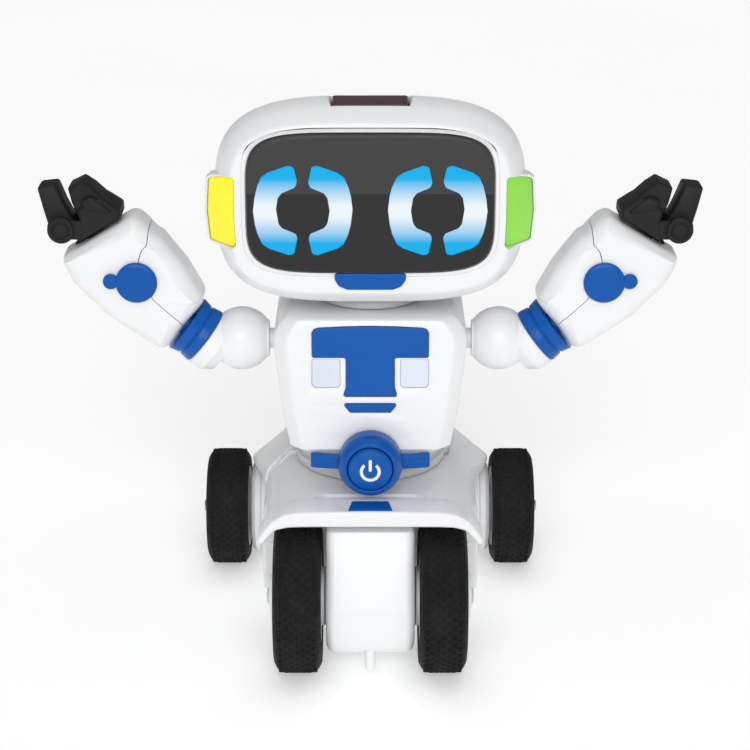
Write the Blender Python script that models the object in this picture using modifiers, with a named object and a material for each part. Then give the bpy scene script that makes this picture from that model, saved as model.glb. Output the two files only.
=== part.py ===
"""Toy robot on four wheels: chassis, torso, turning head and two arms, as separate pieces.

Millimetres in the tables below, metres in the scene. Up is +Z, the robot faces -Y, and its left is +X.
"""

import math

import bmesh
import bpy
from mathutils import Matrix, Vector

MM = 0.001
GAP = 0.3
WALL = 2.0
SEGMENTS = 16
FINE_SEGMENTS = 24
SMALL_SEGMENTS = 12
SHARP_ANGLE = 40.0

# Wheels: axle heights and places along Y, tyre outlines as |x| spans and radii.
FRONT_Y, FRONT_Z = -47.5, 30.0
REAR_Y, REAR_Z = 52.5, 25.0
FRONT_BEAD = 20.5
REAR_BEAD = 17.5
SHAFT_R = 1.6
AXLE_R = 1.5
AXLE_BORE_R = 1.8

# Drive drum between the front wheels.
DRUM_R = 22.0
DRUM_HALF = 17.1
DRUM_NECK_TOP = 61.7
PEG_Y = -60.0
PEG_R = 2.1

# Chassis.
SPLIT_Z = 37.9
BASE_HALF = 43.7
BASE_BOTTOM = 11.0
SHELL_HALF = 42.9
HOUSING_R = 21.3
DECK_Z = 70.5
ARCH_Y = -14.5
ARCH_Z = 62.0

# Torso: height, half width, front face, back face.
TORSO = ((85.0, 26.0, -34.5, 27.0), (87.8, 31.2, -38.0, 30.0), (105.0, 34.4, -36.4, 30.0),
         (129.0, 37.3, -33.2, 30.0), (134.0, 35.4, -32.6, 30.0), (138.4, 31.9, -32.0, 28.0))
TORSO_CORNER = 5.0
TORSO_SPLIT_Y = -5.0
BOSS_Z = 87.0
BOSS_R = 13.6
BUTTON_R = 8.8

# Head: superellipse rings (y, half width, half height, centre height, exponent).
HEAD_FRONT = ((-38.0, 51.0, 31.8, 183.2, 3.8), (-36.8, 52.6, 33.2, 183.2, 3.8),
              (-30.0, 56.6, 37.6, 183.1, 3.5), (-22.0, 58.5, 40.0, 183.0, 3.3))
HEAD_REAR = ((-21.7, 58.5, 40.0, 183.0, 3.3), (-8.0, 58.0, 37.9, 181.4, 3.2),
             (8.0, 55.0, 33.2, 179.6, 3.0), (17.0, 48.5, 27.8, 178.7, 2.8), (22.0, 39.0, 18.4, 178.3, 2.6))
RING_POINTS = 24
VISOR_Z = 185.8
VISOR_HALF_W, VISOR_HALF_H, VISOR_POWER = 46.0, 26.6, 5.0
VISOR_FRONT, VISOR_BACK = -39.2, -36.8
EYE_X, EYE_Z = 25.0, 183.3
EYE_BRACKET = ((18.5, 0.0), (17.0, 8.7), (15.2, 12.8), (12.8, 14.5), (5.5, 17.1), (3.3, 16.7),
               (2.0, 10.8), (2.8, 8.8), (7.8, 6.7), (9.1, 5.0), (9.9, 0.0))

# Arm on the +X side: shoulder centre, elbow centre and axis, wrist and finger pivot, all in the X-Z plane.
ARM_Y = -5.0
ARM_HALF = 13.0
SHOULDER = (50.6, 122.0)
SHOULDER_R = 12.5
ELBOW = (72.4, 128.3)
ELBOW_AXIS = (0.788, 0.616)
WRIST_AXIS = (0.511, 0.860)
WRIST = (105.8, 165.6)
FINGER_PIVOT = (118.8, 168.4)
FOREARM = ((118.8, 157.8), (95.9, 171.4), (91.9, 173.7), (88.0, 172.2), (83.9, 168.6), (82.9, 166.3),
           (84.6, 164.3), (87.6, 161.4), (88.7, 158.0), (89.6, 152.0), (83.9, 141.6), (74.3, 132.6), (72.9, 128.9),
           (80.0, 118.9), (87.3, 123.2), (101.9, 133.4), (114.8, 146.6), (118.6, 154.6))
FOREARM_COVER = ((82.5, 165.9), (80.4, 165.0), (71.3, 153.0), (64.8, 141.0), (65.4, 138.2),
                 (72.6, 129.3), (73.9, 132.8), (83.5, 141.9), (88.8, 152.1), (88.2, 157.9),
                 (87.2, 161.1), (84.3, 164.0))
PALM = ((114.6, 161.6), (95.7, 172.6), (95.9, 176.4), (100.9, 179.7), (106.1, 184.6), (110.1, 187.3),
        (114.3, 185.2), (115.8, 184.6), (114.4, 178.5), (111.6, 171.5), (112.2, 164.5))
FINGER = ((113.9, 171.2), (117.2, 178.0), (120.2, 185.7), (126.4, 185.0), (127.6, 184.2), (125.9, 176.6),
          (124.2, 170.0), (123.0, 165.0), (117.0, 163.6))


# ---------------------------------------------------------------- scene and materials

def clear_scene():
    for item in list(bpy.data.objects):
        bpy.data.objects.remove(item)


def new_collection(name):
    made = bpy.data.collections.new(name)
    bpy.context.scene.collection.children.link(made)
    return made


def material(name, colour, roughness=0.4, metallic=0.0, emission=0.0):
    made = bpy.data.materials.new(name)
    made.use_nodes = True
    shader = made.node_tree.nodes["Principled BSDF"]
    shader.inputs["Base Color"].default_value = (*colour, 1.0)
    shader.inputs["Roughness"].default_value = roughness
    shader.inputs["Metallic"].default_value = metallic
    if emission:
        shader.inputs["Emission Color"].default_value = (*colour, 1.0)
        shader.inputs["Emission Strength"].default_value = emission
    return made


clear_scene()
PIECES = new_collection("wheeled_robot")
CUTTERS = new_collection("cutters")

WHITE = ("white plastic", (0.86, 0.87, 0.88), 0.3)
BLUE = ("blue plastic", (0.02, 0.12, 0.45), 0.35)
BLACK = ("black plastic", (0.02, 0.02, 0.022), 0.45)
RUBBER = ("black rubber", (0.012, 0.012, 0.013), 0.8)
STEEL = ("steel", (0.55, 0.55, 0.56), 0.3, 1.0)
GREY = ("grey plastic", (0.3, 0.31, 0.33), 0.5)


# ---------------------------------------------------------------- shapes

def smooth(mesh):
    """Smooth shading, with the corners left sharp."""
    mesh.shade_smooth()
    mesh.set_sharp_from_angle(angle=math.radians(SHARP_ANGLE))


def finished(name, mesh, look, origin, cutter):
    """The mesh as an object: a visible piece with its own material, or a hidden cutter."""
    smooth(mesh)
    made = bpy.data.objects.new(name, mesh)
    made.location = Vector(origin) * MM
    if cutter:
        made.hide_render = True
        made.display_type = "WIRE"
        CUTTERS.objects.link(made)
    else:
        mesh.materials.append(material(f"{name} {look[0]}", *look[1:]))
        PIECES.objects.link(made)
    return made


def lofted(name, sections, look=WHITE, origin=(0.0, 0.0, 0.0), cutter=False):
    """A closed body through rings of equal point count, bridged in turn and capped at both ends."""
    tool = bmesh.new()
    shift = Vector(origin)
    loops = []
    for section in sections:
        ring = [tool.verts.new((Vector(point) - shift) * MM) for point in section]
        loops.append([tool.edges.new((ring[i - 1], ring[i])) for i in range(len(ring))])
    for low, high in zip(loops, loops[1:]):
        bmesh.ops.bridge_loops(tool, edges=low + high)
    for end in (loops[0], loops[-1]):
        bmesh.ops.contextual_create(tool, geom=end)
    bmesh.ops.recalc_face_normals(tool, faces=tool.faces)
    mesh = bpy.data.meshes.new(name)
    tool.to_mesh(mesh)
    tool.free()
    return finished(name, mesh, look, origin, cutter)


def turned(name, profile, centre, direction, look=WHITE, ring=False, cutter=False, segments=SEGMENTS):
    """A profile of (radius, distance along the axis) pairs under a Screw. ring=True closes it on itself."""
    points = list(profile)
    area = sum(a[0] * b[1] - b[0] * a[1] for a, b in zip(points, points[1:] + points[:1]))
    if area > 0.0:
        points.reverse()
    edges = [(i, i + 1) for i in range(len(points) - 1)]
    if ring:
        edges.append((len(points) - 1, 0))
    mesh = bpy.data.meshes.new(name)
    mesh.from_pydata([(radius * MM, 0.0, along * MM) for radius, along in points], edges, [])
    made = finished(name, mesh, look, centre, cutter)
    made.rotation_mode = "QUATERNION"
    made.rotation_quaternion = Vector(direction).to_track_quat("Z", "Y")
    screw = made.modifiers.new("screw", "SCREW")
    screw.steps = screw.render_steps = segments
    screw.use_merge_vertices = True
    screw.merge_threshold = 0.01 * MM
    if not cutter:
        bpy.context.view_layer.update()
        graph = bpy.context.evaluated_depsgraph_get()
        made.data = bpy.data.meshes.new_from_object(made.evaluated_get(graph))
        made.modifiers.clear()
        smooth(made.data)
    return made


def box(name, low, high, look=WHITE, origin=(0.0, 0.0, 0.0), cutter=False):
    tool = bmesh.new()
    bmesh.ops.create_cube(tool, size=1.0)
    size = Vector(high) - Vector(low)
    middle = (Vector(high) + Vector(low)) / 2.0 - Vector(origin)
    bmesh.ops.scale(tool, vec=size * MM, verts=tool.verts)
    bmesh.ops.translate(tool, vec=middle * MM, verts=tool.verts)
    mesh = bpy.data.meshes.new(name)
    tool.to_mesh(mesh)
    tool.free()
    return finished(name, mesh, look, origin, cutter)


def extruded(name, outline, low, high, frame, look=WHITE, origin=(0.0, 0.0, 0.0), cutter=False):
    """A filled 2D curve, extruded from low to high. frame maps the curve's x, y and z to the scene."""
    data = bpy.data.curves.new(name, "CURVE")
    data.dimensions = "2D"
    data.fill_mode = "BOTH"
    data.extrude = (high - low) / 2.0 * MM
    line = data.splines.new("POLY")
    line.points.add(len(outline) - 1)
    for point, (across, up) in zip(line.points, outline):
        point.co = (across * MM, up * MM, 0.0, 1.0)
    line.use_cyclic_u = True
    guide = bpy.data.objects.new(name, data)
    bpy.context.scene.collection.objects.link(guide)
    bpy.context.view_layer.update()
    mesh = bpy.data.meshes.new_from_object(guide.evaluated_get(bpy.context.evaluated_depsgraph_get()))
    bpy.data.objects.remove(guide)
    bpy.data.curves.remove(data)
    mesh.name = name
    place = Matrix.Translation(-Vector(origin) * MM) @ frame
    mesh.transform(place @ Matrix.Translation((0.0, 0.0, (low + high) / 2.0 * MM)))
    tool = bmesh.new()
    tool.from_mesh(mesh)
    bmesh.ops.remove_doubles(tool, verts=tool.verts, dist=0.001 * MM)
    bmesh.ops.recalc_face_normals(tool, faces=tool.faces)
    tool.to_mesh(mesh)
    tool.free()
    return finished(name, mesh, look, origin, cutter)


# Where a curve's own x, y and z point: an outline in X-Z extruded along Y, in Y-Z along X, in X-Y along Z.
ALONG_Y = Matrix(((1, 0, 0, 0), (0, 0, 1, 0), (0, 1, 0, 0), (0, 0, 0, 1)))
ALONG_X = Matrix(((0, 0, 1, 0), (1, 0, 0, 0), (0, 1, 0, 0), (0, 0, 0, 1)))
ALONG_Z = Matrix.Identity(4)


def prism_y(name, outline, y_low, y_high, look=WHITE, origin=(0.0, 0.0, 0.0), cutter=False):
    return extruded(name, outline, y_low, y_high, ALONG_Y, look, origin, cutter)


def prism_x(name, outline, half, look=WHITE, cutter=False):
    return extruded(name, outline, -half, half, ALONG_X, look, cutter=cutter)


def prism_z(name, outline, z_low, z_high, look=WHITE, cutter=False):
    return extruded(name, outline, z_low, z_high, ALONG_Z, look, cutter=cutter)


def combine(target, other, operation="DIFFERENCE"):
    step = target.modifiers.new(f"{operation.lower()} {other.name}", "BOOLEAN")
    step.operation = operation
    step.solver = "EXACT"
    step.object = other
    return target


def bevel(target, width, segments=2, angle=35.0):
    step = target.modifiers.new("bevel", "BEVEL")
    step.width = width * MM
    step.segments = segments
    step.limit_method = "ANGLE"
    step.angle_limit = math.radians(angle)
    return target


def offset(outline, distance):
    """The closed outline grown by `distance`, or shrunk where it is negative."""
    area = sum(a[0] * b[1] - b[0] * a[1] for a, b in zip(outline, outline[1:] + outline[:1]))
    turn = 1.0 if area > 0.0 else -1.0
    grown = []
    for i, point in enumerate(outline):
        before = Vector(point) - Vector(outline[i - 1])
        after = Vector(outline[(i + 1) % len(outline)]) - Vector(point)
        first = Vector((before.y, -before.x)).normalized() * turn
        second = Vector((after.y, -after.x)).normalized() * turn
        middle = (first + second).normalized()
        reach = distance / max(0.5, middle.dot(first))
        grown.append((point[0] + middle.x * reach, point[1] + middle.y * reach))
    return grown


def superellipse(y, half_w, half_h, centre_z, power, count=RING_POINTS):
    ring = []
    for k in range(count):
        turn = 2.0 * math.pi * (k + 0.5) / count
        c, s = math.cos(turn), math.sin(turn)
        x = half_w * math.copysign(abs(c) ** (2.0 / power), c)
        z = half_h * math.copysign(abs(s) ** (2.0 / power), s)
        ring.append((x, y, centre_z + z))
    return ring


def mirror_x(outline):
    """Half an outline on x >= 0, completed on the other side."""
    return list(outline) + [(-x, z) for x, z in reversed(outline) if x > 0.0]


SIDES = (("right", -1.0), ("left", 1.0))


# ---------------------------------------------------------------- wheels, drum and motors

def wheel(place, side_name, side, y, z, tyre_profile, rim_profile, ring):
    """A tyre and its rim, both with their origin in the middle of the tyre, on the axle's line."""
    middle = sum(along for _, along in tyre_profile) / len(tyre_profile)
    centre = (side * middle, y, z)
    axis = (side, 0.0, 0.0)
    for piece, profile, look, closed in (("tyre", tyre_profile, RUBBER, True), ("rim", rim_profile, WHITE, ring)):
        turned(f"{place}_{piece}_{side_name}", [(radius, along - middle) for radius, along in profile], centre,
               axis, look, ring=closed, segments=FINE_SEGMENTS)


FRONT_TYRE = ((FRONT_BEAD, 19.0), (25.8, 18.7), (28.4, 19.9), (29.7, 22.4), (30.0, 26.0), (30.0, 30.0),
              (29.7, 33.6), (28.4, 36.1), (25.8, 37.3), (FRONT_BEAD, 37.0))
FRONT_RIM = ((0.0, 34.8), (AXLE_BORE_R, 34.8), (AXLE_BORE_R, 17.6), (11.5, 17.6), (11.5, 19.4),
             (FRONT_BEAD - GAP, 19.2), (FRONT_BEAD - GAP, 36.9), (18.4, 37.8), (9.0, 39.2), (3.2, 39.5),
             (3.0, 40.2), (0.0, 40.4))
REAR_TYRE = ((REAR_BEAD, 52.3), (21.2, 52.0), (23.6, 53.2), (24.8, 55.8), (25.0, 59.0), (25.0, 63.0),
             (24.8, 66.2), (23.6, 68.8), (21.2, 70.0), (REAR_BEAD, 69.7))
REAR_RIM = ((AXLE_BORE_R, 51.5), (7.5, 51.5), (8.0, 52.2), (REAR_BEAD - GAP, 52.2),
            (REAR_BEAD - GAP, 69.6), (15.4, 70.3), (4.6, 70.6), (AXLE_BORE_R, 70.6))


def drum_ring(x, inset):
    """The drum's side outline at one x: round below, a neck up to the deck above."""
    ring = []
    for k in range(15):
        turn = math.radians(168.0 + k * 204.0 / 14.0)
        radius = DRUM_R - inset
        ring.append((x, FRONT_Y + radius * math.cos(turn), FRONT_Z + radius * math.sin(turn)))
    ring.append((x, FRONT_Y + 12.5 - inset, DRUM_NECK_TOP - inset))
    ring.append((x, FRONT_Y - 10.5 + inset, DRUM_NECK_TOP - inset))
    return ring


def drive_end(peg_hole):
    for side_name, side in SIDES:
        wheel("front", side_name, side, FRONT_Y, FRONT_Z, FRONT_TYRE, FRONT_RIM, False)
        drum = lofted(f"drum_shell_{side_name}", [drum_ring(side * x, inset) for x, inset in
                      ((GAP / 2.0, 0.0), (13.6, 0.0), (15.9, 1.1), (DRUM_HALF, 3.4))])
        hollow = lofted(f"drum_hollow_{side_name}", [drum_ring(side * x, inset) for x, inset in
                        ((-2.0, WALL), (13.0, WALL), (DRUM_HALF - WALL, 3.8))], cutter=True)
        shaft_hole = turned(f"drum_bore_{side_name}", ((0.0, 10.0), (6.0, 10.0), (6.0, 20.0), (0.0, 20.0)),
                            (0.0, FRONT_Y, FRONT_Z), (side, 0.0, 0.0), cutter=True)
        for cutter in (hollow, shaft_hole, peg_hole):
            combine(drum, cutter)
        turned(f"drive_motor_{side_name}",
               ((0.0, 1.5), (11.5, 1.5), (11.5, 14.7), (5.6, 14.7), (5.6, 17.0), (SHAFT_R, 17.0),
                (SHAFT_R, 34.2), (0.0, 34.4)), (0.0, FRONT_Y, FRONT_Z), (side, 0.0, 0.0), STEEL)


PEG_HOLE = turned("peg_hole", ((0.0, 3.0), (PEG_R + GAP, 3.0), (PEG_R + GAP, 17.5), (0.0, 17.5)),
                  (0.0, PEG_Y, 0.0), (0.0, 0.0, 1.0), cutter=True)
drive_end(PEG_HOLE)
turned("skid_peg", ((0.0, 4.0), (1.1, 4.3), (PEG_R, 5.8), (PEG_R, 18.4), (3.4, 18.4), (3.4, 20.2), (0.0, 20.2)),
       (0.0, PEG_Y, 0.0), (0.0, 0.0, 1.0), WHITE)


# ---------------------------------------------------------------- rear axle and chassis

for side_label, sign in SIDES:
    wheel("rear", side_label, sign, REAR_Y, REAR_Z, REAR_TYRE, REAR_RIM, True)
turned("rear_axle", ((0.0, -72.2), (2.2, -72.0), (3.2, -71.0), (AXLE_R, -71.0), (AXLE_R, 71.0), (3.2, 71.0),
                     (2.2, 72.0), (0.0, 72.2)), (0.0, REAR_Y, REAR_Z), (1.0, 0.0, 0.0), STEEL)


def chassis_base():
    side_view = [(-13.0, SPLIT_Z), (-13.0, 22.0), (-9.0, 14.5), (-2.0, BASE_BOTTOM), (60.0, BASE_BOTTOM),
                 (68.0, 14.5), (72.0, 22.0), (73.0, SPLIT_Z)]
    inside = [(-13.0 + WALL, SPLIT_Z + 3.0), (-13.0 + WALL, 22.6), (-7.6, 16.0), (-1.5, BASE_BOTTOM + WALL),
              (59.5, BASE_BOTTOM + WALL), (66.6, 16.0), (70.0, 22.6), (71.0, SPLIT_Z + 3.0)]
    base = prism_x("chassis_base", side_view, BASE_HALF)
    combine(base, prism_x("base_hollow", inside, BASE_HALF - WALL, cutter=True))
    bore = turned("axle_bore", ((0.0, -60.0), (AXLE_BORE_R, -60.0), (AXLE_BORE_R, 60.0), (0.0, 60.0)),
                  (0.0, REAR_Y, REAR_Z), (1.0, 0.0, 0.0), cutter=True)
    for side_name, side in SIDES:
        housing = turned(f"axle_housing_{side_name}",
                         ((0.0, 43.2), (HOUSING_R, 43.2), (HOUSING_R, 46.6), (19.8, 47.2), (19.8, 49.4),
                          (18.2, 50.8), (0.0, 50.8)), (0.0, REAR_Y, REAR_Z), (side, 0.0, 0.0), cutter=True)
        combine(base, housing, "UNION")
    for x in (-26.0, 26.0):
        for y in (0.0, 40.0):
            post = turned(f"board_post_{x:.0f}_{y:.0f}",
                          ((0.0, BASE_BOTTOM + 1.0), (2.6, BASE_BOTTOM + 1.0), (2.6, 29.7), (0.0, 29.7)),
                          (x, y, 0.0), (0.0, 0.0, 1.0), segments=SMALL_SEGMENTS, cutter=True)
            combine(base, post, "UNION")
    slot = box("switch_slot", (-5.3, 8.0, BASE_BOTTOM - 2.0), (5.3, 12.0, BASE_BOTTOM + WALL + 0.5), cutter=True)
    for cutter in (bore, slot):
        combine(base, cutter)


def shell_ring(y, top, top_half, lip_half, lip_z, under_half, under_z, side_half, side_z, bottom):
    half = ((top_half, top), (lip_half, lip_z), (under_half, under_z), (side_half, side_z), (side_half, bottom))
    return [(x, y, z) for x, z in mirror_x(half)]


def chassis_top_shell():
    low = SPLIT_Z + GAP
    outer = [shell_ring(-46.2, DECK_Z, 30.0, 37.6, 66.6, 39.6, 63.5, 40.6, 60.0, low),
             shell_ring(-20.0, DECK_Z, 31.5, 38.6, 65.4, 41.0, 60.0, SHELL_HALF, 52.0, low),
             shell_ring(8.0, DECK_Z, 33.0, 41.6, 61.5, 43.6, 57.0, SHELL_HALF, 50.0, low),
             shell_ring(32.0, 69.2, 34.6, 48.4, 53.6, 48.2, 51.2, SHELL_HALF, 47.6, low),
             shell_ring(54.0, 61.5, 35.0, 50.4, 48.4, 50.2, 46.6, SHELL_HALF, 43.0, low),
             shell_ring(66.0, 56.5, 32.0, 46.0, 46.0, 46.0, 44.0, 41.0, 41.0, low),
             shell_ring(73.5, 49.5, 26.0, 39.0, 46.0, 38.5, 44.0, 37.0, 41.0, low)]
    room_half = SHELL_HALF - WALL
    room_low = low - 3.0
    inner = [shell_ring(-12.4, DECK_Z - WALL, 29.8, 37.0, 62.8, 39.4, 58.0, room_half, 50.5, room_low),
             shell_ring(8.0, DECK_Z - WALL, 31.5, 39.0, 60.0, 40.6, 56.0, room_half, 49.0, room_low),
             shell_ring(32.0, 67.0, 32.8, 44.8, 52.8, 44.8, 51.0, room_half, 46.6, room_low),
             shell_ring(54.0, 59.4, 33.5, 42.5, 49.0, 42.5, 46.6, room_half, 43.0, room_low),
             shell_ring(65.5, 54.0, 30.0, 40.0, 46.0, 40.0, 43.6, 38.8, 40.0, room_low),
             shell_ring(71.3, 47.2, 25.0, 36.0, 45.0, 36.0, 42.6, 35.0, 39.0, room_low)]
    shell = lofted("chassis_top_shell", outer)
    combine(shell, lofted("shell_hollow", inner, cutter=True))
    combine(shell, box("wheel_arch", (-60.0, -60.0, 20.0), (60.0, ARCH_Y, ARCH_Z), cutter=True))
    for side_name, side in SIDES:
        combine(shell, turned(f"housing_room_{side_name}",
                              ((0.0, SHELL_HALF + 0.2), (HOUSING_R + 0.4, SHELL_HALF + 0.2),
                               (HOUSING_R + 0.4, 54.0), (0.0, 54.0)),
                              (0.0, REAR_Y, REAR_Z), (side, 0.0, 0.0), cutter=True))


chassis_base()
chassis_top_shell()
BOARD = box("main_board", (-31.0, -4.0, 30.0), (31.0, 44.0, 31.6), ("green board", (0.02, 0.16, 0.06), 0.5))
for chip_name, chip_low, chip_high in (("chip_a", (-8.0, 12.0, 31.0), (8.0, 28.0, 33.6)),
                                       ("chip_b", (14.0, 4.0, 31.0), (24.0, 12.0, 33.2)),
                                       ("chip_c", (-25.0, 28.0, 31.0), (-14.0, 36.0, 36.0))):
    combine(BOARD, box(chip_name, chip_low, chip_high, cutter=True), "UNION")

SWITCH = box("power_switch", (-4.0, 8.4, BASE_BOTTOM - 1.4), (-0.6, 11.6, BASE_BOTTOM + WALL + 1.0), BLACK,
             origin=(-2.3, 10.0, BASE_BOTTOM))
combine(SWITCH, box("switch_flange", (-5.2, 7.0, BASE_BOTTOM + WALL + GAP), (0.6, 13.0, BASE_BOTTOM + WALL + 1.5),
                    cutter=True), "UNION")


# ---------------------------------------------------------------- fender

FENDER_TOP = ((0.0, 71.4), (28.5, 71.0), (33.5, 69.8), (37.5, 67.3), (40.8, 63.2), (43.4, 58.6))
FENDER_UNDER = ((41.2, 57.4), (39.2, 60.2), (36.2, 63.6), (31.5, 64.7), (26.0, 64.9), (0.0, 65.0))
TAB = ((-8.4, -59.6), (8.4, -59.6), (7.0, -51.0), (-7.0, -51.0))


def fender():
    outline = list(FENDER_TOP) + list(FENDER_UNDER)
    outline += [(-x, z) for x, z in reversed(FENDER_UNDER[:-1])] + [(-x, z) for x, z in reversed(FENDER_TOP[1:])]
    lip = prism_y("front_fender", outline, -61.0, -46.5)
    bevel(lip, 0.8, 2)
    tab_room = offset(list(TAB), GAP)
    combine(lip, prism_z("tab_room", tab_room, 70.3, 73.0, cutter=True))
    prism_z("fender_tab", TAB, 70.6, 71.8, BLUE)


fender()
turned("waist_ring", ((0.0, DECK_Z + GAP), (30.0, DECK_Z + GAP), (29.6, 75.0), (27.6, 81.0), (26.2, 84.5),
                      (0.0, 84.5)), (0.0, 0.0, 0.0), (0.0, 0.0, 1.0), GREY)


# ---------------------------------------------------------------- torso

def torso_ring(z, half, front, back, shrink=0.0):
    corner = TORSO_CORNER
    half, front, back = half - shrink, front + shrink, back - shrink
    return [(half - corner, front, z), (half, front + corner, z), (half, back - corner, z),
            (half - corner, back, z), (corner - half, back, z), (-half, back - corner, z),
            (-half, front + corner, z), (corner - half, front, z)]


def face_y(z):
    """Where the tilted front face of the torso lies at height z."""
    (low_z, _, low_y, _), (high_z, _, high_y, _) = TORSO[1], TORSO[-1]
    return low_y + (high_y - low_y) * (z - low_z) / (high_z - low_z)


def on_chest(outline, depth):
    return [(x, face_y(z) + depth, z) for x, z in outline]


CHEST_PANEL = mirror_x(((20.3, 135.2), (22.3, 133.2), (22.3, 113.6), (21.0, 112.0), (11.8, 112.0), (9.8, 115.0)))
SLATS = mirror_x(((8.3, 112.4), (10.9, 108.7), (4.0, 108.7), (4.0, 106.0), (10.9, 106.0), (7.8, 102.5)))


def torso():
    rings = [torso_ring(*row) for row in TORSO]
    inside_rows = list(TORSO)
    inside_rows[0] = (TORSO[0][0] + WALL, 27.5, -35.5, 28.5)
    inside_rows[-1] = (TORSO[-1][0] - WALL, 33.2, -32.2, 29.2)
    inside = [torso_ring(*row, shrink=WALL) for row in inside_rows]
    hollow = lofted("torso_hollow", inside, cutter=True)
    panel_room = lofted("panel_room", [on_chest(offset(CHEST_PANEL, GAP), d) for d in (-3.0, 1.3)], cutter=True)
    slat_room = lofted("slat_room", [on_chest(offset(SLATS, GAP), d) for d in (-3.0, 1.3)], cutter=True)
    door_room = box("door_room", (-22.9, 25.0, 90.0), (22.9, 34.0, 134.0), cutter=True)
    neck_hole = turned("neck_hole", ((0.0, 130.0), (6.4, 130.0), (6.4, 145.0), (0.0, 145.0)),
                       (0.0, 0.0, 0.0), (0.0, 0.0, 1.0), cutter=True)
    belt_hole = turned("belt_hole", ((0.0, 30.0), (3.3, 30.0), (3.3, 45.0), (0.0, 45.0)),
                       (0.0, 0.0, 94.0), (0.0, -1.0, 0.0), cutter=True)
    shoulder_holes = [turned(f"shoulder_hole_{side_name}", ((0.0, 25.0), (4.4, 25.0), (4.4, 45.0), (0.0, 45.0)),
                             (0.0, ARM_Y, SHOULDER[1]), (side, 0.0, 0.0), cutter=True)
                      for side_name, side in SIDES]
    for name, away, cutters in (
        ("torso_front_shell", ((-50.0, TORSO_SPLIT_Y - GAP / 2.0, 80.0), (50.0, 60.0, 145.0)),
         (panel_room, slat_room, belt_hole)),
        ("torso_rear_shell", ((-50.0, -60.0, 80.0), (50.0, TORSO_SPLIT_Y + GAP / 2.0, 145.0)),
         (door_room,)),
    ):
        shell = lofted(name, rings)
        combine(shell, hollow)
        combine(shell, box(f"{name}_away", *away, cutter=True))
        for cutter in (*cutters, neck_hole, *shoulder_holes):
            combine(shell, cutter)


torso()
lofted("chest_panel", [on_chest(CHEST_PANEL, depth) for depth in (-0.5, 1.0)], BLUE)
lofted("chest_slats", [on_chest(SLATS, depth) for depth in (-0.4, 1.0)], BLUE)


def belt():
    boss = turned("belt", ((0.0, 39.0), (13.0, 39.0), (BOSS_R, 41.0), (BOSS_R, 46.5), (12.6, 49.0), (10.6, 50.2),
                           (BUTTON_R + 0.4, 50.2), (BUTTON_R + 0.4, 45.4), (0.0, 45.4)),
                  (0.0, 0.0, BOSS_Z), (0.0, -1.0, 0.0), BLUE)
    across = [-23.0 + 46.0 * step / 6.0 for step in range(7)]
    front = [(x, -39.0 - 3.0 * (1.0 - (x / 23.0) ** 2)) for x in across]
    back = [(x, y + 3.5) for x, y in reversed(front)]
    combine(boss, prism_z("belt_wings", front + back, 80.8, 84.6, cutter=True), "UNION")
    combine(boss, turned("belt_peg", ((0.0, 33.0), (3.0, 33.0), (3.0, 40.0), (0.0, 40.0)), (0.0, 0.0, 94.0),
                         (0.0, -1.0, 0.0), cutter=True), "UNION")
    turned("waist_button", ((0.0, 46.9), (BUTTON_R, 46.9), (BUTTON_R, 50.4), (7.4, 51.5), (0.0, 51.8)),
           (0.0, 0.0, BOSS_Z), (0.0, -1.0, 0.0), BLUE)


belt()

CELL_X = (-18.2, -7.3, 7.3, 18.2)
CELL_Y = 18.4
TRAY = box("battery_box", (-25.2, 11.5, 88.0), (25.2, 25.6, 136.0), BLACK)
combine(TRAY, box("tray_left", (1.8, 12.7, 89.2), (24.0, 30.0, 134.8), cutter=True))
combine(TRAY, box("tray_right", (-24.0, 12.7, 89.2), (-1.8, 30.0, 134.8), cutter=True))
combine(TRAY, turned("screw_bore", ((0.0, 15.0), (0.9, 15.0), (0.9, 30.0), (0.0, 30.0)), (0.0, 0.0, 112.0),
                     (0.0, 1.0, 0.0), segments=SMALL_SEGMENTS, cutter=True))
for number, cell_x in enumerate(CELL_X, start=1):
    flip = 1.0 if number % 2 else -1.0
    turned(f"battery_cell_{number}", ((0.0, -22.2), (5.0, -22.2), (5.25, -21.9), (5.25, 21.0), (2.0, 21.2),
                                      (1.9, 22.3), (0.0, 22.3)), (cell_x, CELL_Y, 112.0), (0.0, 0.0, flip), STEEL,
           segments=SMALL_SEGMENTS)

DOOR = box("battery_door", (-22.6, 27.2, 90.3), (22.6, 30.2, 133.7), WHITE, origin=(0.0, 28.0, 112.0))
bevel(DOOR, 0.5, 1)
combine(DOOR, turned("screw_room", ((0.0, 20.0), (1.5, 20.0), (1.5, 28.2), (2.9, 28.6), (2.9, 34.0), (0.0, 34.0)),
                     (0.0, 0.0, 112.0), (0.0, 1.0, 0.0), segments=SMALL_SEGMENTS, cutter=True))
turned("battery_door_screw", ((0.0, 17.0), (0.7, 17.4), (0.7, 27.5), (1.2, 27.6), (1.2, 28.8), (2.6, 29.0),
                              (2.5, 30.0), (0.0, 30.3)), (0.0, 0.0, 112.0), (0.0, 1.0, 0.0), STEEL, segments=SMALL_SEGMENTS)
turned("speaker", ((0.0, 23.4), (6.0, 23.4), (6.5, 26.4), (13.0, 28.4), (13.6, 31.0), (11.6, 31.6), (0.0, 29.8)),
       (0.0, 0.0, 110.0), (0.0, -1.0, 0.0), BLACK)
turned("neck_post", ((0.0, 131.5), (9.0, 131.5), (9.0, 136.0), (6.0, 136.0), (6.0, 138.8), (20.5, 138.8),
                     (20.0, 142.0), (6.0, 142.4), (6.0, 149.2), (8.6, 149.2), (8.6, 151.0), (0.0, 151.4)),
       (0.0, 0.0, 0.0), (0.0, 0.0, 1.0), GREY)


# ---------------------------------------------------------------- head

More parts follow.
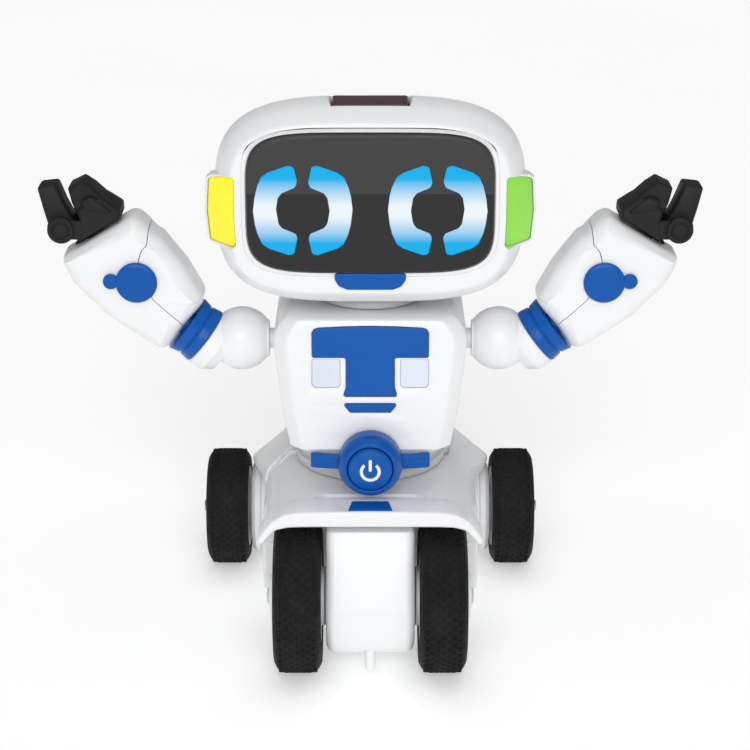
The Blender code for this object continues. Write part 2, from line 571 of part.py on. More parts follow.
def ear_outline(side):
    half = ((59.2, 193.2), (50.6, 196.0), (50.8, 180.0), (50.4, 169.4), (51.6, 168.2), (60.2, 169.2),
            (61.2, 180.0), (60.4, 192.4))
    return [(side * x, z) for x, z in half]


EAR_SLANT = ((46.0, -41.0), (46.0, -40.0), (64.0, -24.6), (64.0, -41.0))
MOUTH = mirror_x(((13.4, 158.9), (13.2, 156.4), (11.6, 153.9), (8.6, 152.6)))


def sensor_block(name, grow, look=WHITE, cutter=False):
    """The sensor window, sloping down toward its front edge."""
    half, rear, front = 14.0 + grow, -14.0 + grow, -29.4 - grow
    low = 216.0 - grow
    side_view = [(rear, low), (rear, 221.2 + 8.0 * (grow > 0.0)), (-22.0, 223.0 + 8.0 * (grow > 0.0)),
                 (front, 220.9 + 8.0 * (grow > 0.0)), (front, low)]
    return prism_x(name, side_view, half, look, cutter=cutter)


def visor_ring(y, grow):
    return superellipse(y, VISOR_HALF_W + grow, VISOR_HALF_H + grow, VISOR_Z, VISOR_POWER)


def bracket(centre_x, turn, grow=0.0):
    half = [(turn * x, z) for x, z in EYE_BRACKET]
    ring = half + [(x, -z) for x, z in half[-2:0:-1]]
    return [(centre_x + x, EYE_Z + z) for x, z in offset(ring, grow)]


def head():
    frame = lofted("face_frame", [superellipse(*row) for row in HEAD_FRONT])
    cavity = lofted("frame_hollow", [superellipse(-33.4, 49.0, 30.6, 183.2, 3.8),
                                     superellipse(-20.0, 55.8, 37.3, 183.0, 3.3)], cutter=True)
    visor_room = lofted("visor_room", [visor_ring(y, GAP) for y in (-45.0, -36.5)], cutter=True)
    window = lofted("ledge_window", [visor_ring(y, -2.0) for y in (-37.5, -32.0)], cutter=True)
    mouth_room = prism_y("mouth_room", offset(MOUTH, GAP), -45.0, -37.0, cutter=True)
    sensor_room = sensor_block("sensor_room", GAP, cutter=True)
    ear_rooms = [prism_y(f"ear_room_{side_name}", offset(ear_outline(side), GAP), -45.0, -23.6, cutter=True)
                 for side_name, side in SIDES]
    for cutter in (cavity, visor_room, window, mouth_room, sensor_room, *ear_rooms):
        combine(frame, cutter)

    shell = lofted("head_rear_shell", [superellipse(*row) for row in HEAD_REAR])
    inside = [superellipse(-25.0, 56.3, 37.8, 183.0, 3.3), superellipse(-8.0, 55.8, 35.7, 181.4, 3.2),
              superellipse(7.0, 52.8, 31.4, 179.6, 3.0), superellipse(15.4, 46.4, 26.2, 178.8, 2.8),
              superellipse(19.6, 37.5, 18.8, 178.4, 2.6)]
    neck_hole = turned("head_neck_hole", ((0.0, 138.0), (6.4, 138.0), (6.4, 152.0), (0.0, 152.0)),
                       (0.0, 0.0, 0.0), (0.0, 0.0, 1.0), cutter=True)
    for cutter in (lofted("head_hollow", inside, cutter=True), neck_hole, sensor_room):
        combine(shell, cutter)

    visor = lofted("visor", [visor_ring(VISOR_FRONT, -1.0), visor_ring(VISOR_FRONT + 0.6, 0.0),
                             visor_ring(VISOR_BACK, 0.0)], BLACK)
    for side_name, side in SIDES:
        plate = lofted(f"eye_light_{side_name}",
                       [superellipse(y, 16.8, 16.0, EYE_Z, 2.6, 16) for y in (-36.3, -35.0)],
                       ("cyan light", (0.05, 0.6, 0.95), 0.3, 0.0, 1.5))
        for point in plate.data.vertices:
            point.co.x += side * EYE_X * MM
        for label, turn in (("outer", side), ("inner", -side)):
            combine(visor, prism_y(f"eye_window_{side_name}_{label}", bracket(side * EYE_X, turn, 0.15), -42.0,
                                   -34.0, cutter=True))
            combine(plate, prism_y(f"eye_rod_{side_name}_{label}", bracket(side * EYE_X, turn, -0.15),
                                   VISOR_FRONT - 0.2, -35.6, cutter=True), "UNION")
        ear = prism_y(f"ear_light_{side_name}", ear_outline(side), -37.4, -24.0,
                      ("yellow lens", (0.95, 0.82, 0.02), 0.35) if side < 0.0 else
                      ("green lens", (0.25, 0.62, 0.06), 0.35))
        combine(ear, prism_z(f"ear_slant_{side_name}", [(side * x, y) for x, y in EAR_SLANT], 160.0, 205.0,
                             cutter=True))
    prism_y("mouth_tab", MOUTH, -38.9, -37.3, BLUE)
    sensor_block("sensor_window", 0.0, ("maroon window", (0.08, 0.02, 0.03), 0.15))
    box("eye_board", (-42.0, -32.6, 165.0), (42.0, -31.0, 206.0), ("green board", (0.02, 0.16, 0.06), 0.5))


head()


# ---------------------------------------------------------------- arms

def at_side(outline, side):
    return [(side * x, z) for x, z in outline]


def arm(side_name, side):
    centre = (side * SHOULDER[0], ARM_Y, SHOULDER[1])
    elbow = (side * ELBOW[0], ARM_Y, ELBOW[1])
    elbow_axis = (side * ELBOW_AXIS[0], 0.0, ELBOW_AXIS[1])
    wrist = (side * WRIST[0], ARM_Y, WRIST[1])
    wrist_axis = (side * WRIST_AXIS[0], 0.0, WRIST_AXIS[1])
    pivot = (side * FINGER_PIVOT[0], ARM_Y, FINGER_PIVOT[1])
    across = (0.0, 1.0, 0.0)

    arc = [(SHOULDER_R * math.sin(math.radians(a)), SHOULDER_R * math.cos(math.radians(a)))
           for a in (20, 45, 70, 95, 120, 140)]
    ball = turned(f"shoulder_ball_{side_name}",
                  [(0.0, 12.5)] + arc + [(7.2, -10.8), (4.0, -10.8), (4.0, -17.4), (6.4, -17.4), (6.4, -19.2),
                                         (0.0, -19.2)], centre, (side, 0.0, 0.0), WHITE)
    combine(ball, turned(f"ball_collar_{side_name}", ((0.0, -19.0), (9.0, -19.0), (11.7, -15.0), (11.7, -9.3),
                                                      (0.0, -9.3)), elbow, elbow_axis, cutter=True), "UNION")
    combine(ball, turned(f"ball_socket_{side_name}", ((0.0, -17.3), (5.3, -17.3), (5.3, -9.3), (15.0, -9.3),
                                                      (15.0, 0.0), (0.0, 0.0)),
                         elbow, elbow_axis, cutter=True))

    turned(f"upper_arm_{side_name}",
           ((0.0, -17.0), (5.0, -17.0), (5.0, -9.0), (11.7, -9.0), (11.1, -5.2), (10.5, -4.9), (10.5, -4.4),
            (11.1, -4.1), (11.9, -0.3), (5.0, -0.3), (5.0, 8.0), (0.0, 8.4)), elbow, elbow_axis, BLUE)
    elbow_bore = turned(f"elbow_bore_{side_name}", ((0.0, -4.0), (5.3, -4.0), (5.3, 8.8), (0.0, 8.8)),
                        elbow, elbow_axis, cutter=True)
    wrist_bore = turned(f"wrist_bore_{side_name}", ((0.0, -9.4), (4.8, -9.4), (4.8, 12.0), (0.0, 12.0)),
                        wrist, wrist_axis, cutter=True)
    cap_bore = turned(f"cap_bore_{side_name}", ((0.0, -14.0), (4.3, -14.0), (4.3, -6.0), (0.0, -6.0)),
                      (side * 90.0, ARM_Y, 149.1), across, cutter=True)

    shell = prism_y(f"forearm_shell_{side_name}", at_side(FOREARM, side), ARM_Y - ARM_HALF, ARM_Y + ARM_HALF,
                    origin=elbow)
    bevel(shell, 2.4, 1, 30.0)
    combine(shell, prism_y(f"forearm_hollow_{side_name}", at_side(offset(list(FOREARM), -WALL), side),
                           ARM_Y - ARM_HALF + WALL, ARM_Y + ARM_HALF - WALL, cutter=True))
    cover = prism_y(f"forearm_cover_{side_name}", at_side(FOREARM_COVER, side), ARM_Y - ARM_HALF + 0.2,
                    ARM_Y + ARM_HALF - 0.2, origin=elbow)
    bevel(cover, 1.6, 1, 40.0)
    for cutter in (elbow_bore, wrist_bore, cap_bore):
        combine(shell, cutter)
    for cutter in (elbow_bore, cap_bore):
        combine(cover, cutter)

    cap = turned(f"forearm_cap_{side_name}", ((0.0, -15.2), (7.2, -15.0), (8.0, -14.4), (8.0, -13.2), (4.0, -13.2),
                                              (4.0, -8.0), (0.0, -8.0)),
                 (side * 90.0, ARM_Y, 149.1), across, BLUE)
    combine(cap, turned(f"cap_lobe_{side_name}", ((0.0, -14.9), (2.6, -14.8), (3.0, -14.4), (3.0, -13.2),
                                                  (0.0, -13.2)),
                        (side * 99.8, ARM_Y, 149.6), across, segments=SMALL_SEGMENTS, cutter=True), "UNION")

    palm = prism_y(f"palm_{side_name}", at_side(PALM, side), ARM_Y - 8.5, ARM_Y + 8.5, BLACK, origin=wrist)
    palm_stub = turned(f"palm_stub_{side_name}", ((0.0, -9.0), (4.5, -9.0), (4.5, 4.0), (0.0, 4.0)), wrist,
                       wrist_axis, cutter=True)
    finger_room = turned(f"finger_room_{side_name}", ((0.0, -6.3), (7.0, -6.3), (7.0, 6.3), (0.0, 6.3)), pivot,
                         across, cutter=True)
    ear_profile = ((0.0, 6.5), (5.2, 6.5), (5.2, 9.0), (4.6, 9.4), (0.0, 9.4))
    cheeks = [turned(f"knuckle_{side_name}_{label}", ear_profile, pivot, (0.0, turn, 0.0),
                     cutter=True) for label, turn in (("front", -1.0), ("back", 1.0))]
    bridges = [box(f"bridge_{side_name}_{label}", (min(side * 110.5, side * 118.0), low, 164.6),
                   (max(side * 110.5, side * 118.0), high, 172.0), cutter=True)
               for label, low, high in (("front", ARM_Y - 8.3, ARM_Y - 6.6), ("back", ARM_Y + 6.6, ARM_Y + 8.3))]
    pin = turned(f"finger_pin_{side_name}", ((0.0, -7.5), (1.4, -7.5), (1.4, 7.5), (0.0, 7.5)), pivot, across,
                 segments=SMALL_SEGMENTS, cutter=True)
    combine(palm, finger_room)
    for other in (palm_stub, *cheeks, *bridges, pin):
        combine(palm, other, "UNION")

    knuckle = turned(f"finger_{side_name}", ((1.7, -6.0), (5.6, -6.0), (5.6, 6.0), (1.7, 6.0)), pivot, across,
                     BLACK, ring=True)
    blade = prism_y(f"finger_blade_{side_name}", at_side(FINGER, side), ARM_Y - 5.6, ARM_Y + 5.6, cutter=True)
    pin_room = turned(f"pin_room_{side_name}", ((0.0, -9.0), (1.7, -9.0), (1.7, 9.0), (0.0, 9.0)), pivot, across,
                      segments=SMALL_SEGMENTS, cutter=True)
    combine(knuckle, blade, "UNION")
    combine(knuckle, pin_room)


for side_label, sign in SIDES:
    arm(side_label, sign)
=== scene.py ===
"""Looks of the wheeled toy robot: moulded shells, treaded tyres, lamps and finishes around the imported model.

Lengths are millimetres until a mesh is finished. Up is +Z, the robot faces -Y, and its left is +X.
"""

import math

import bmesh
import bpy
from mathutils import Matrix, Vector


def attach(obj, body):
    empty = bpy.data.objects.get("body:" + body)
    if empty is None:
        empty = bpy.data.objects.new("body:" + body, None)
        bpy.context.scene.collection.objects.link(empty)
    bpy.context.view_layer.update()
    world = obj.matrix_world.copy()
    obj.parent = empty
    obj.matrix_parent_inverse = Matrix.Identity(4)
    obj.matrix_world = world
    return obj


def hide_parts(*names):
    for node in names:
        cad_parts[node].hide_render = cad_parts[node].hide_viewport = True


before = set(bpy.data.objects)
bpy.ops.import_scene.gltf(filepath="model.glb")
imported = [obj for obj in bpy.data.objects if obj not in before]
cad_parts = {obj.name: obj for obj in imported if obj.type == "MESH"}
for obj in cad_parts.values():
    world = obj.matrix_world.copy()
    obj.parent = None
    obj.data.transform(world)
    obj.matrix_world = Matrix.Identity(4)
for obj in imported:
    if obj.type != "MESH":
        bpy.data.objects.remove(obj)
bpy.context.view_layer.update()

MM = 0.001
SEAM = 0.3
SIDES = (("right", -1.0), ("left", 1.0))
STEPS = 72
ORIGIN = (0.0, 0.0, 0.0)
SIDEWAYS, FORWARD, BACKWARD, UP = (1.0, 0.0, 0.0), (0.0, -1.0, 0.0), (0.0, 1.0, 0.0), (0.0, 0.0, 1.0)

# Wheels.
FRONT_Y, FRONT_Z = -47.5, 30.0
REAR_Y, REAR_Z = 52.5, 25.0
FRONT_AXLE, REAR_AXLE = (0.0, FRONT_Y, FRONT_Z), (0.0, REAR_Y, REAR_Z)
FRONT_R, REAR_R = 30.0, 25.0
DRUM_R = 22.0
SKID_Y = -60.0

# Chassis and torso.
DECK_Z = 70.5
SPLIT_Z = 37.9
TORSO = ((85.0, 26.0, -34.5, 27.0), (86.0, 28.8, -36.4, 28.8), (87.8, 31.2, -38.0, 30.0),
         (96.0, 32.8, -37.2, 30.0), (105.0, 34.4, -36.3, 30.0), (117.0, 35.9, -34.8, 30.0),
         (129.0, 37.3, -33.3, 30.0), (133.0, 36.4, -32.8, 30.0), (136.4, 34.2, -32.4, 29.5),
         (138.0, 32.4, -31.8, 28.3), (138.4, 31.0, -30.9, 27.2))
TORSO_CORNER = 5.0
BOSS_Z = 84.4
BOSS = (0.0, 0.0, BOSS_Z)
BELT_PEG = (0.0, 0.0, 89.5)
DOOR_MIDDLE = (0.0, 0.0, 112.0)

# Head: superellipse rows of y, half width, half height, centre height, exponent.
VISOR_Z = 185.8
EYE_X, EYE_Z = 25.0, 183.3
BRACKET = ((18.5, 0.0), (17.9, 5.0), (17.0, 8.7), (15.2, 12.8), (12.8, 14.5), (5.5, 17.1), (3.3, 16.7),
           (2.0, 10.8), (2.8, 8.8), (7.8, 6.7), (9.1, 5.0), (9.9, 0.0))

# Arm on the +X side, all in the X-Z plane.
ARM_Y = -5.0
SHOULDER = (50.6, 122.0)
ELBOW = (72.4, 128.3)
ELBOW_AXIS = (0.788, 0.616)
WRIST_AXIS = (0.511, 0.860)
WRIST = (105.8, 165.6)
PIVOT = (118.8, 168.4)


# ---------------------------------------------------------------- finishes

def linear(colour):
    """A colour as seen on screen, made linear."""
    return tuple(c / 12.92 if c <= 0.04045 else ((c + 0.055) / 1.055) ** 2.4 for c in colour) + (1.0,)


class Finish:
    """A Principled material and short ways to add procedural detail to it."""

    def __init__(self, name):
        self.made = bpy.data.materials.new(name)
        self.made.use_nodes = True
        self.tree = self.made.node_tree
        self.shader = self.tree.nodes["Principled BSDF"]
        self.place = self.tree.nodes.new("ShaderNodeTexCoord").outputs["Object"]

    def node(self, kind, **settings):
        made = self.tree.nodes.new(kind)
        for key, value in settings.items():
            setattr(made, key, value)
        return made

    def link(self, source, target):
        self.tree.links.new(source, target)

    def feed(self, socket, source):
        self.link(source, self.shader.inputs[socket])

    def set(self, **values):
        for key, value in values.items():
            self.shader.inputs[key.replace("_", " ")].default_value = value
        return self

    def noise(self, scale, detail=2.0, stretch=None):
        made = self.node("ShaderNodeTexNoise")
        made.inputs["Scale"].default_value = scale
        made.inputs["Detail"].default_value = detail
        source = self.place
        if stretch:
            squeeze = self.node("ShaderNodeMapping")
            squeeze.inputs["Scale"].default_value = stretch
            self.link(self.place, squeeze.inputs["Vector"])
            source = squeeze.outputs["Vector"]
        self.link(source, made.inputs["Vector"])
        return made.outputs["Fac"]

    def ramp(self, source, stops):
        made = self.node("ShaderNodeValToRGB")
        line = made.color_ramp
        while len(line.elements) < len(stops):
            line.elements.new(0.5)
        for element, (position, colour) in zip(line.elements, stops):
            element.position = position
            element.color = colour
        self.link(source, made.inputs["Fac"])
        return made.outputs["Color"]

    def spread(self, source, low, high):
        made = self.node("ShaderNodeMapRange")
        made.inputs["From Min"].default_value = 0.3
        made.inputs["From Max"].default_value = 0.7
        made.inputs["To Min"].default_value = low
        made.inputs["To Max"].default_value = high
        self.link(source, made.inputs["Value"])
        return made.outputs["Result"]

    def height(self, low, high):
        """0 at z = low and 1 at z = high, in millimetres."""
        split = self.node("ShaderNodeSeparateXYZ")
        self.link(self.place, split.inputs["Vector"])
        made = self.node("ShaderNodeMapRange")
        made.inputs["From Min"].default_value = low * MM
        made.inputs["From Max"].default_value = high * MM
        self.link(split.outputs["Z"], made.inputs["Value"])
        return made.outputs["Result"]

    def grain(self, scale, strength, depth=0.0001):
        bump = self.node("ShaderNodeBump")
        bump.inputs["Strength"].default_value = strength
        bump.inputs["Distance"].default_value = depth
        self.link(self.noise(scale, 3.0), bump.inputs["Height"])
        self.feed("Normal", bump.outputs["Normal"])


def moulded(name, colour, roughness=(0.26, 0.36), grain=(1500.0, 0.06), drift=0.03, coat=0.0,
            shine=0.5):
    """Injection-moulded plastic: faint drift in tone, uneven sheen and a fine spark-eroded grain."""
    finish = Finish(name)
    tint = [tuple(c * (1.0 + shift) for c in colour) for shift in (-drift, drift)]
    finish.feed("Base Color", finish.ramp(finish.noise(28.0), ((0.35, linear(tint[0])), (0.65, linear(tint[1])))))
    finish.feed("Roughness", finish.spread(finish.noise(90.0), *roughness))
    finish.grain(*grain)
    finish.set(IOR=1.49, Specular_IOR_Level=shine, Coat_Weight=coat, Coat_Roughness=0.08)
    return finish.made


def rubber():
    finish = Finish("tyre_rubber")
    tints = ((0.3, linear((0.075, 0.075, 0.078))), (0.75, linear((0.12, 0.12, 0.122))))
    finish.feed("Base Color", finish.ramp(finish.noise(60.0, 4.0), tints))
    finish.feed("Roughness", finish.spread(finish.noise(200.0), 0.62, 0.82))
    finish.grain(2200.0, 0.25, 0.00015)
    finish.set(Specular_IOR_Level=0.2)
    return finish.made


def visor_finish_with_painted_glare():
    """Glossy smoked plastic with a satin band across its top; the band's lighter base colour is a painted reflection
    of the studio light.
    """
    finish = Finish("smoked_visor_painted_glare")
    band = finish.height(189.6, 189.9)
    # Painted reflection: the tint above z = 189.6 mm is lighter and stands in for glare on the visor's upper part;
    # the rougher band itself is a real finish.
    tints = ((0.0, linear((0.15, 0.15, 0.155))), (1.0, linear((0.225, 0.225, 0.23))))
    finish.feed("Base Color", finish.ramp(band, tints))
    finish.feed("Roughness", finish.ramp(band, ((0.0, (0.2, 0.2, 0.2, 1.0)), (1.0, (0.42, 0.42, 0.42, 1.0)))))
    finish.grain(900.0, 0.02)
    finish.set(IOR=1.45, Specular_IOR_Level=0.3)
    return finish.made


def lamp(name, deep, bright, strength):
    """A lit, faintly mottled lens."""
    finish = Finish(name)
    fade = finish.ramp(finish.noise(45.0), ((0.3, linear(deep)), (0.7, linear(bright))))
    finish.feed("Base Color", fade)
    finish.feed("Emission Color", fade)
    finish.feed("Roughness", finish.spread(finish.noise(150.0), 0.22, 0.34))
    finish.grain(1200.0, 0.04)
    finish.set(Emission_Strength=strength, Coat_Weight=0.3)
    return finish.made


def eye_finish():
    """A lit eye segment: cyan at its ends, white at its middle height."""
    finish = Finish("eye_light")
    deep, bright = linear((0.0, 0.70, 0.94)), linear((0.96, 0.985, 1.0))
    glow = finish.ramp(finish.height(EYE_Z - 17.0, EYE_Z + 17.0),
                       ((0.0, deep), (0.14, deep), (0.44, bright), (0.56, bright), (0.86, deep)))
    finish.feed("Emission Color", glow)
    finish.feed("Roughness", finish.spread(finish.noise(150.0), 0.3, 0.4))
    finish.grain(1200.0, 0.03)
    finish.set(Base_Color=linear((0.02, 0.12, 0.16)), Emission_Strength=0.93, Specular_IOR_Level=0.2)
    return finish.made


def metal(name, colour, roughness=(0.22, 0.4), stretch=(1.0, 1.0, 30.0)):
    """Metal with fine marks along Z."""
    finish = Finish(name)
    tints = ((0.3, linear([c * 0.85 for c in colour])), (0.7, linear(colour)))
    finish.feed("Base Color", finish.ramp(finish.noise(120.0, 4.0, stretch), tints))
    finish.feed("Roughness", finish.spread(finish.noise(250.0, 2.0, stretch), *roughness))
    finish.grain(1800.0, 0.05)
    finish.set(Metallic=1.0)
    return finish.made


WHITE = moulded("white_abs", (0.93, 0.935, 0.94), roughness=(0.32, 0.36), grain=(1500.0, 0.02), drift=0.004)
GREY = moulded("light_grey_abs", (0.78, 0.785, 0.79), drift=0.01)
DARK_GREY = moulded("dark_grey_abs", (0.36, 0.37, 0.39), roughness=(0.4, 0.55))
BLUE = moulded("blue_abs", (0.04, 0.335, 0.66), grain=(1500.0, 0.03), drift=0.02, shine=0.2)
PALE = moulded("pale_panel", (0.86, 0.88, 0.93), drift=0.012)
BLACK = moulded("matt_black_abs", (0.115, 0.115, 0.12), roughness=(0.5, 0.66), grain=(2600.0, 0.22), drift=0.08,
                shine=0.25)
MAROON = moulded("maroon_window", (0.27, 0.17, 0.20), roughness=(0.12, 0.2), drift=0.05, coat=0.6)
RUBBER = rubber()
# The visor's top band carries a painted reflection in its base colour.
VISOR = visor_finish_with_painted_glare()
EYE = eye_finish()
YELLOW = lamp("yellow_lens", (0.95, 0.90, 0.06), (0.96, 0.92, 0.10), 0.18)
GREEN = lamp("green_lens", (0.46, 0.74, 0.20), (0.52, 0.79, 0.26), 0.3)
STEEL = metal("brushed_steel", (0.72, 0.73, 0.75))
CELL = metal("cell_wrap", (0.80, 0.81, 0.83), (0.3, 0.5))
BOARD = moulded("circuit_board", (0.08, 0.34, 0.18), roughness=(0.35, 0.5), drift=0.12)


# ---------------------------------------------------------------- shapes

def piece_from(name, form, look):
    """A bmesh in millimetres, finished as an object."""
    for vertex in form.verts:
        vertex.co *= MM
    bmesh.ops.recalc_face_normals(form, faces=form.faces)
    mesh = bpy.data.meshes.new(name)
    form.to_mesh(mesh)
    form.free()
    made = bpy.data.objects.new(name, mesh)
    bpy.context.scene.collection.objects.link(made)
    mesh.materials.append(look)
    shade(made)
    return made


def shade(piece, angle=32.0):
    piece.data.shade_smooth()
    piece.data.set_sharp_from_angle(angle=math.radians(angle))


def skin(name, rings, look, loop=False):
    """A closed surface through rings of points. A ring of one point is a pole; loop=True joins last to first."""
    form = bmesh.new()
    rows = [[form.verts.new(point) for point in ring] for ring in rings]
    pairs = list(zip(rows, rows[1:])) + ([(rows[-1], rows[0])] if loop else [])
    for low, high in pairs:
        count = max(len(low), len(high))
        for i in range(count):
            corners = [low[i % len(low)], low[(i + 1) % len(low)], high[(i + 1) % len(high)], high[i % len(high)]]
            form.faces.new(list(dict.fromkeys(corners)))
    if not loop:
        for end in (rows[0], rows[-1]):
            if len(end) > 2:
                form.faces.new(end)
    return piece_from(name, form, look)


def fillet(points, radius, closed=True, arc=4):
    """The outline with its corners rounded. Beside each point stands the radius that its corner got."""
    rounded = []
    for i, point in enumerate(points):
        here = Vector(point)
        before = Vector(points[i - 1]) - here
        after = Vector(points[(i + 1) % len(points)]) - here
        turn = math.pi - before.angle(after)
        if (not closed and i in (0, len(points) - 1)) or turn < 0.03:
            rounded.append((here, math.inf))
            continue
        reach = min(radius * math.tan(turn / 2.0), 0.46 * before.length, 0.46 * after.length)
        start = here + before.normalized() * reach
        end = here + after.normalized() * reach
        for k in range(arc + 1):
            t = k / arc
            a, b, c = (1.0 - t) ** 2, 2.0 * t * (1.0 - t) * math.cos(turn / 2.0), t * t
            rounded.append(((start * a + here * b + end * c) / (a + b + c), reach / math.tan(turn / 2.0)))
    return rounded


def inward(points):
    """For each point of a closed outline, the unit vector that points into it."""
    area = sum(a.x * b.y - b.x * a.y for a, b in zip(points, points[1:] + points[:1]))
    turn = 1.0 if area > 0.0 else -1.0
    found = []
    for i, point in enumerate(points):
        along = (points[(i + 1) % len(points)] - points[i - 1]).normalized()
        found.append(Vector((-along.y, along.x)) * turn)
    return found


def grown(outline, distance):
    points = [Vector(point) for point in outline]
    return [tuple(point - normal * distance) for point, normal in zip(points, inward(points))]


def along_y(u, v, depth):
    return u, depth, v


def along_x(u, v, depth):
    return depth, u, v


def along_z(u, v, depth):
    return u, v, depth


def slab(name, outline, low, high, look, edge=0.5, corner=1.0, place=along_y, inset=None, arc=4):
    """An outline with rounded corners, made thick from low to high, with its two rims rounded by `edge`."""
    dense = fillet(outline, corner, arc=arc)
    points = [point for point, _ in dense]
    normals = inward(points)
    inset = edge if inset is None else inset
    turns = [math.radians(90.0 * k / 5.0) for k in range(6)] if edge > 0.25 else [0.0, math.pi / 2.0]
    levels = [(low + edge * (1.0 - math.cos(a)), inset * (1.0 - math.sin(a))) for a in turns]
    levels += [(high - edge * (1.0 - math.cos(a)), inset * (1.0 - math.sin(a))) for a in reversed(turns)]
    rings = []
    for depth, pull in levels:
        rings.append([Vector(place(*(point + normal * min(pull, 0.92 * radius)), depth))
                      for (point, radius), normal in zip(dense, normals)])
    return skin(name, rings, look)


def lathe(name, profile, centre, direction, look, corner=0.4, steps=STEPS, loop=False):
    """A profile of (radius, distance along the axis) pairs with softened corners, turned about the axis."""
    turn = Vector(direction).to_track_quat("Z", "Y").to_matrix()
    line = [point for point, _ in fillet(profile, corner, closed=loop, arc=3)] if corner else map(Vector, profile)
    rings = []
    for radius, along in line:
        angles = [2.0 * math.pi * (k + 0.5) / steps for k in range(steps)] if radius > 1e-4 else [0.0]
        rings.append([Vector(centre) + turn @ Vector((radius * math.cos(a), radius * math.sin(a), along))
                      for a in angles])
    return skin(name, rings, look, loop=loop)


def outward(side):
    return side, 0.0, 0.0


def rod(name, radius, low, high, centre, direction, steps=STEPS, look=None):
    """A plain cylinder, for a bore or a pin."""
    return lathe(name, ((0.0, low), (radius, low), (radius, high), (0.0, high)), centre, direction, look or WHITE,
                 corner=0.0, steps=steps)


def block(name, low, high, look=None, edge=0.0, corner=0.0):
    outline = [(low[0], low[2]), (high[0], low[2]), (high[0], high[2]), (low[0], high[2])]
    return slab(name, outline, low[1], high[1], look or WHITE, edge=edge, corner=corner)


def bake(piece):
    bpy.context.view_layer.update()
    mesh = bpy.data.meshes.new_from_object(piece.evaluated_get(bpy.context.evaluated_depsgraph_get()))
    piece.modifiers.clear()
    piece.data = mesh
    shade(piece)
    return piece


def combine(piece, others, operation="DIFFERENCE", keep=False):
    for other in others:
        step = piece.modifiers.new("combine", "BOOLEAN")
        step.operation = operation
        step.solver = "EXACT"
        step.object = other
    bake(piece)
    if not keep:
        for other in others:
            bpy.data.objects.remove(other)
    return piece


def soften(piece, width=0.25, segments=2, angle=40.0):
    """Rounds the edges that the cuts left."""
    step = piece.modifiers.new("soften", "BEVEL")
    step.width = width * MM
    step.segments = segments
    step.limit_method = "ANGLE"
    step.angle_limit = math.radians(angle)
    return bake(piece)


def merge(name, pieces):
    """Several bodies as one object."""
    form = bmesh.new()
    for piece in pieces:
        form.from_mesh(piece.data)
        look = piece.data.materials[0]
        bpy.data.objects.remove(piece)
    for vertex in form.verts:
        vertex.co /= MM
    return piece_from(name, form, look)


def show(piece, body, slot, *nodes):
    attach(piece, body)
    if nodes:
        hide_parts(*nodes)
    return piece


def at_side(outline, side):
    return [(side * x, z) for x, z in outline]


def mirrored(half):
    return list(half) + [(-x, z) for x, z in reversed(half) if x > 0.0]


def between(rows, per=4):
    """The rows with `per` steps between neighbours, on a Catmull-Rom curve."""
    made = []
    last = len(rows) - 1
    for i in range(last):
        p0, p1, p2, p3 = (rows[max(0, min(last, j))] for j in (i - 1, i, i + 1, i + 2))
        for k in range(per):
            t = k / per
            made.append(tuple(0.5 * (2 * b + (c - a) * t + (2 * a - 5 * b + 4 * c - d) * t * t
                                     + (3 * b - a - 3 * c + d) * t ** 3)
                              for a, b, c, d in zip(p0, p1, p2, p3)))
    made.append(tuple(rows[-1]))
    return made


# ---------------------------------------------------------------- wheels

def tyre(name, side, profile, y, z, radius, half_width, middle, pitches, look=RUBBER):
    """A tyre with staggered rows of fine raised rings."""
    body = lathe(f"{name}_carcass", profile, (0.0, y, z), outward(side), look, corner=1.2, steps=96, loop=True)
    form = bmesh.new()
    gap = half_width / 4.4
    stud = min(gap * 0.6, math.pi * radius / pitches * 0.6)
    base, top = radius - 1.2, radius - 0.05

    def ring(x, turn, size, height, points=6):
        corners = []
        for k in range(points):
            a = 2.0 * math.pi * k / points
            across = x + size * math.cos(a)
            around = turn + size * math.sin(a) / radius
            corners.append(form.verts.new((side * across, y + height * math.sin(around),
                                           z + height * math.cos(around))))
        return corners

    for column in range(-3, 4):
        for step in range(pitches):
            turn = 2.0 * math.pi * (step + 0.5 * (column % 2)) / pitches
            x = middle + column * gap
            drop = 0.2 if abs(column) == 3 else 0.0
            rows = [ring(x, turn, stud, base), ring(x, turn, stud * 0.9, top - drop - 0.12),
                    ring(x, turn, stud * 0.76, top - drop), ring(x, turn, stud * 0.5, top - drop),
                    ring(x, turn, stud * 0.36, top - drop - 0.35)]
            for low, high in zip(rows, rows[1:]):
                for i in range(6):
                    form.faces.new((low[i], low[(i + 1) % 6], high[(i + 1) % 6], high[i]))
            form.faces.new(rows[0])
            form.faces.new(rows[-1])
    studs = piece_from(f"{name}_studs", form, look)
    return merge(name, [body, studs])


def dished(name, side, profile, y, z, holes, hole_ring, hole_r, face, loop=False):
    """A rim with a ring of shallow round recesses in its outer face."""
    rim = lathe(name, profile, (0.0, y, z), outward(side), WHITE, corner=0.5, steps=96, loop=loop)
    cutters = []
    for k in range(holes):
        a = 2.0 * math.pi * k / holes
        centre = (0.0, y + hole_ring * math.sin(a), z + hole_ring * math.cos(a))
        cutters.append(lathe(f"{name}_recess", ((0.0, face - 1.3), (hole_r - 0.5, face - 1.3), (hole_r, face - 0.8),
                                                (hole_r, face + 4.0), (0.0, face + 4.0)),
                             centre, outward(side), WHITE, corner=0.0, steps=32))
    return soften(combine(rim, cutters), 0.2)


FRONT_CARCASS = ((20.5, 19.0), (25.8, 18.7), (28.2, 19.9), (29.4, 22.4), (29.6, 26.0), (29.6, 30.0),
                 (29.4, 33.6), (28.2, 36.1), (25.8, 37.3), (20.5, 37.0))
REAR_CARCASS = ((17.5, 52.3), (21.2, 52.0), (23.4, 53.2), (24.4, 55.8), (24.6, 59.0), (24.6, 63.0),
                (24.4, 66.2), (23.4, 68.8), (21.2, 70.0), (17.5, 69.7))

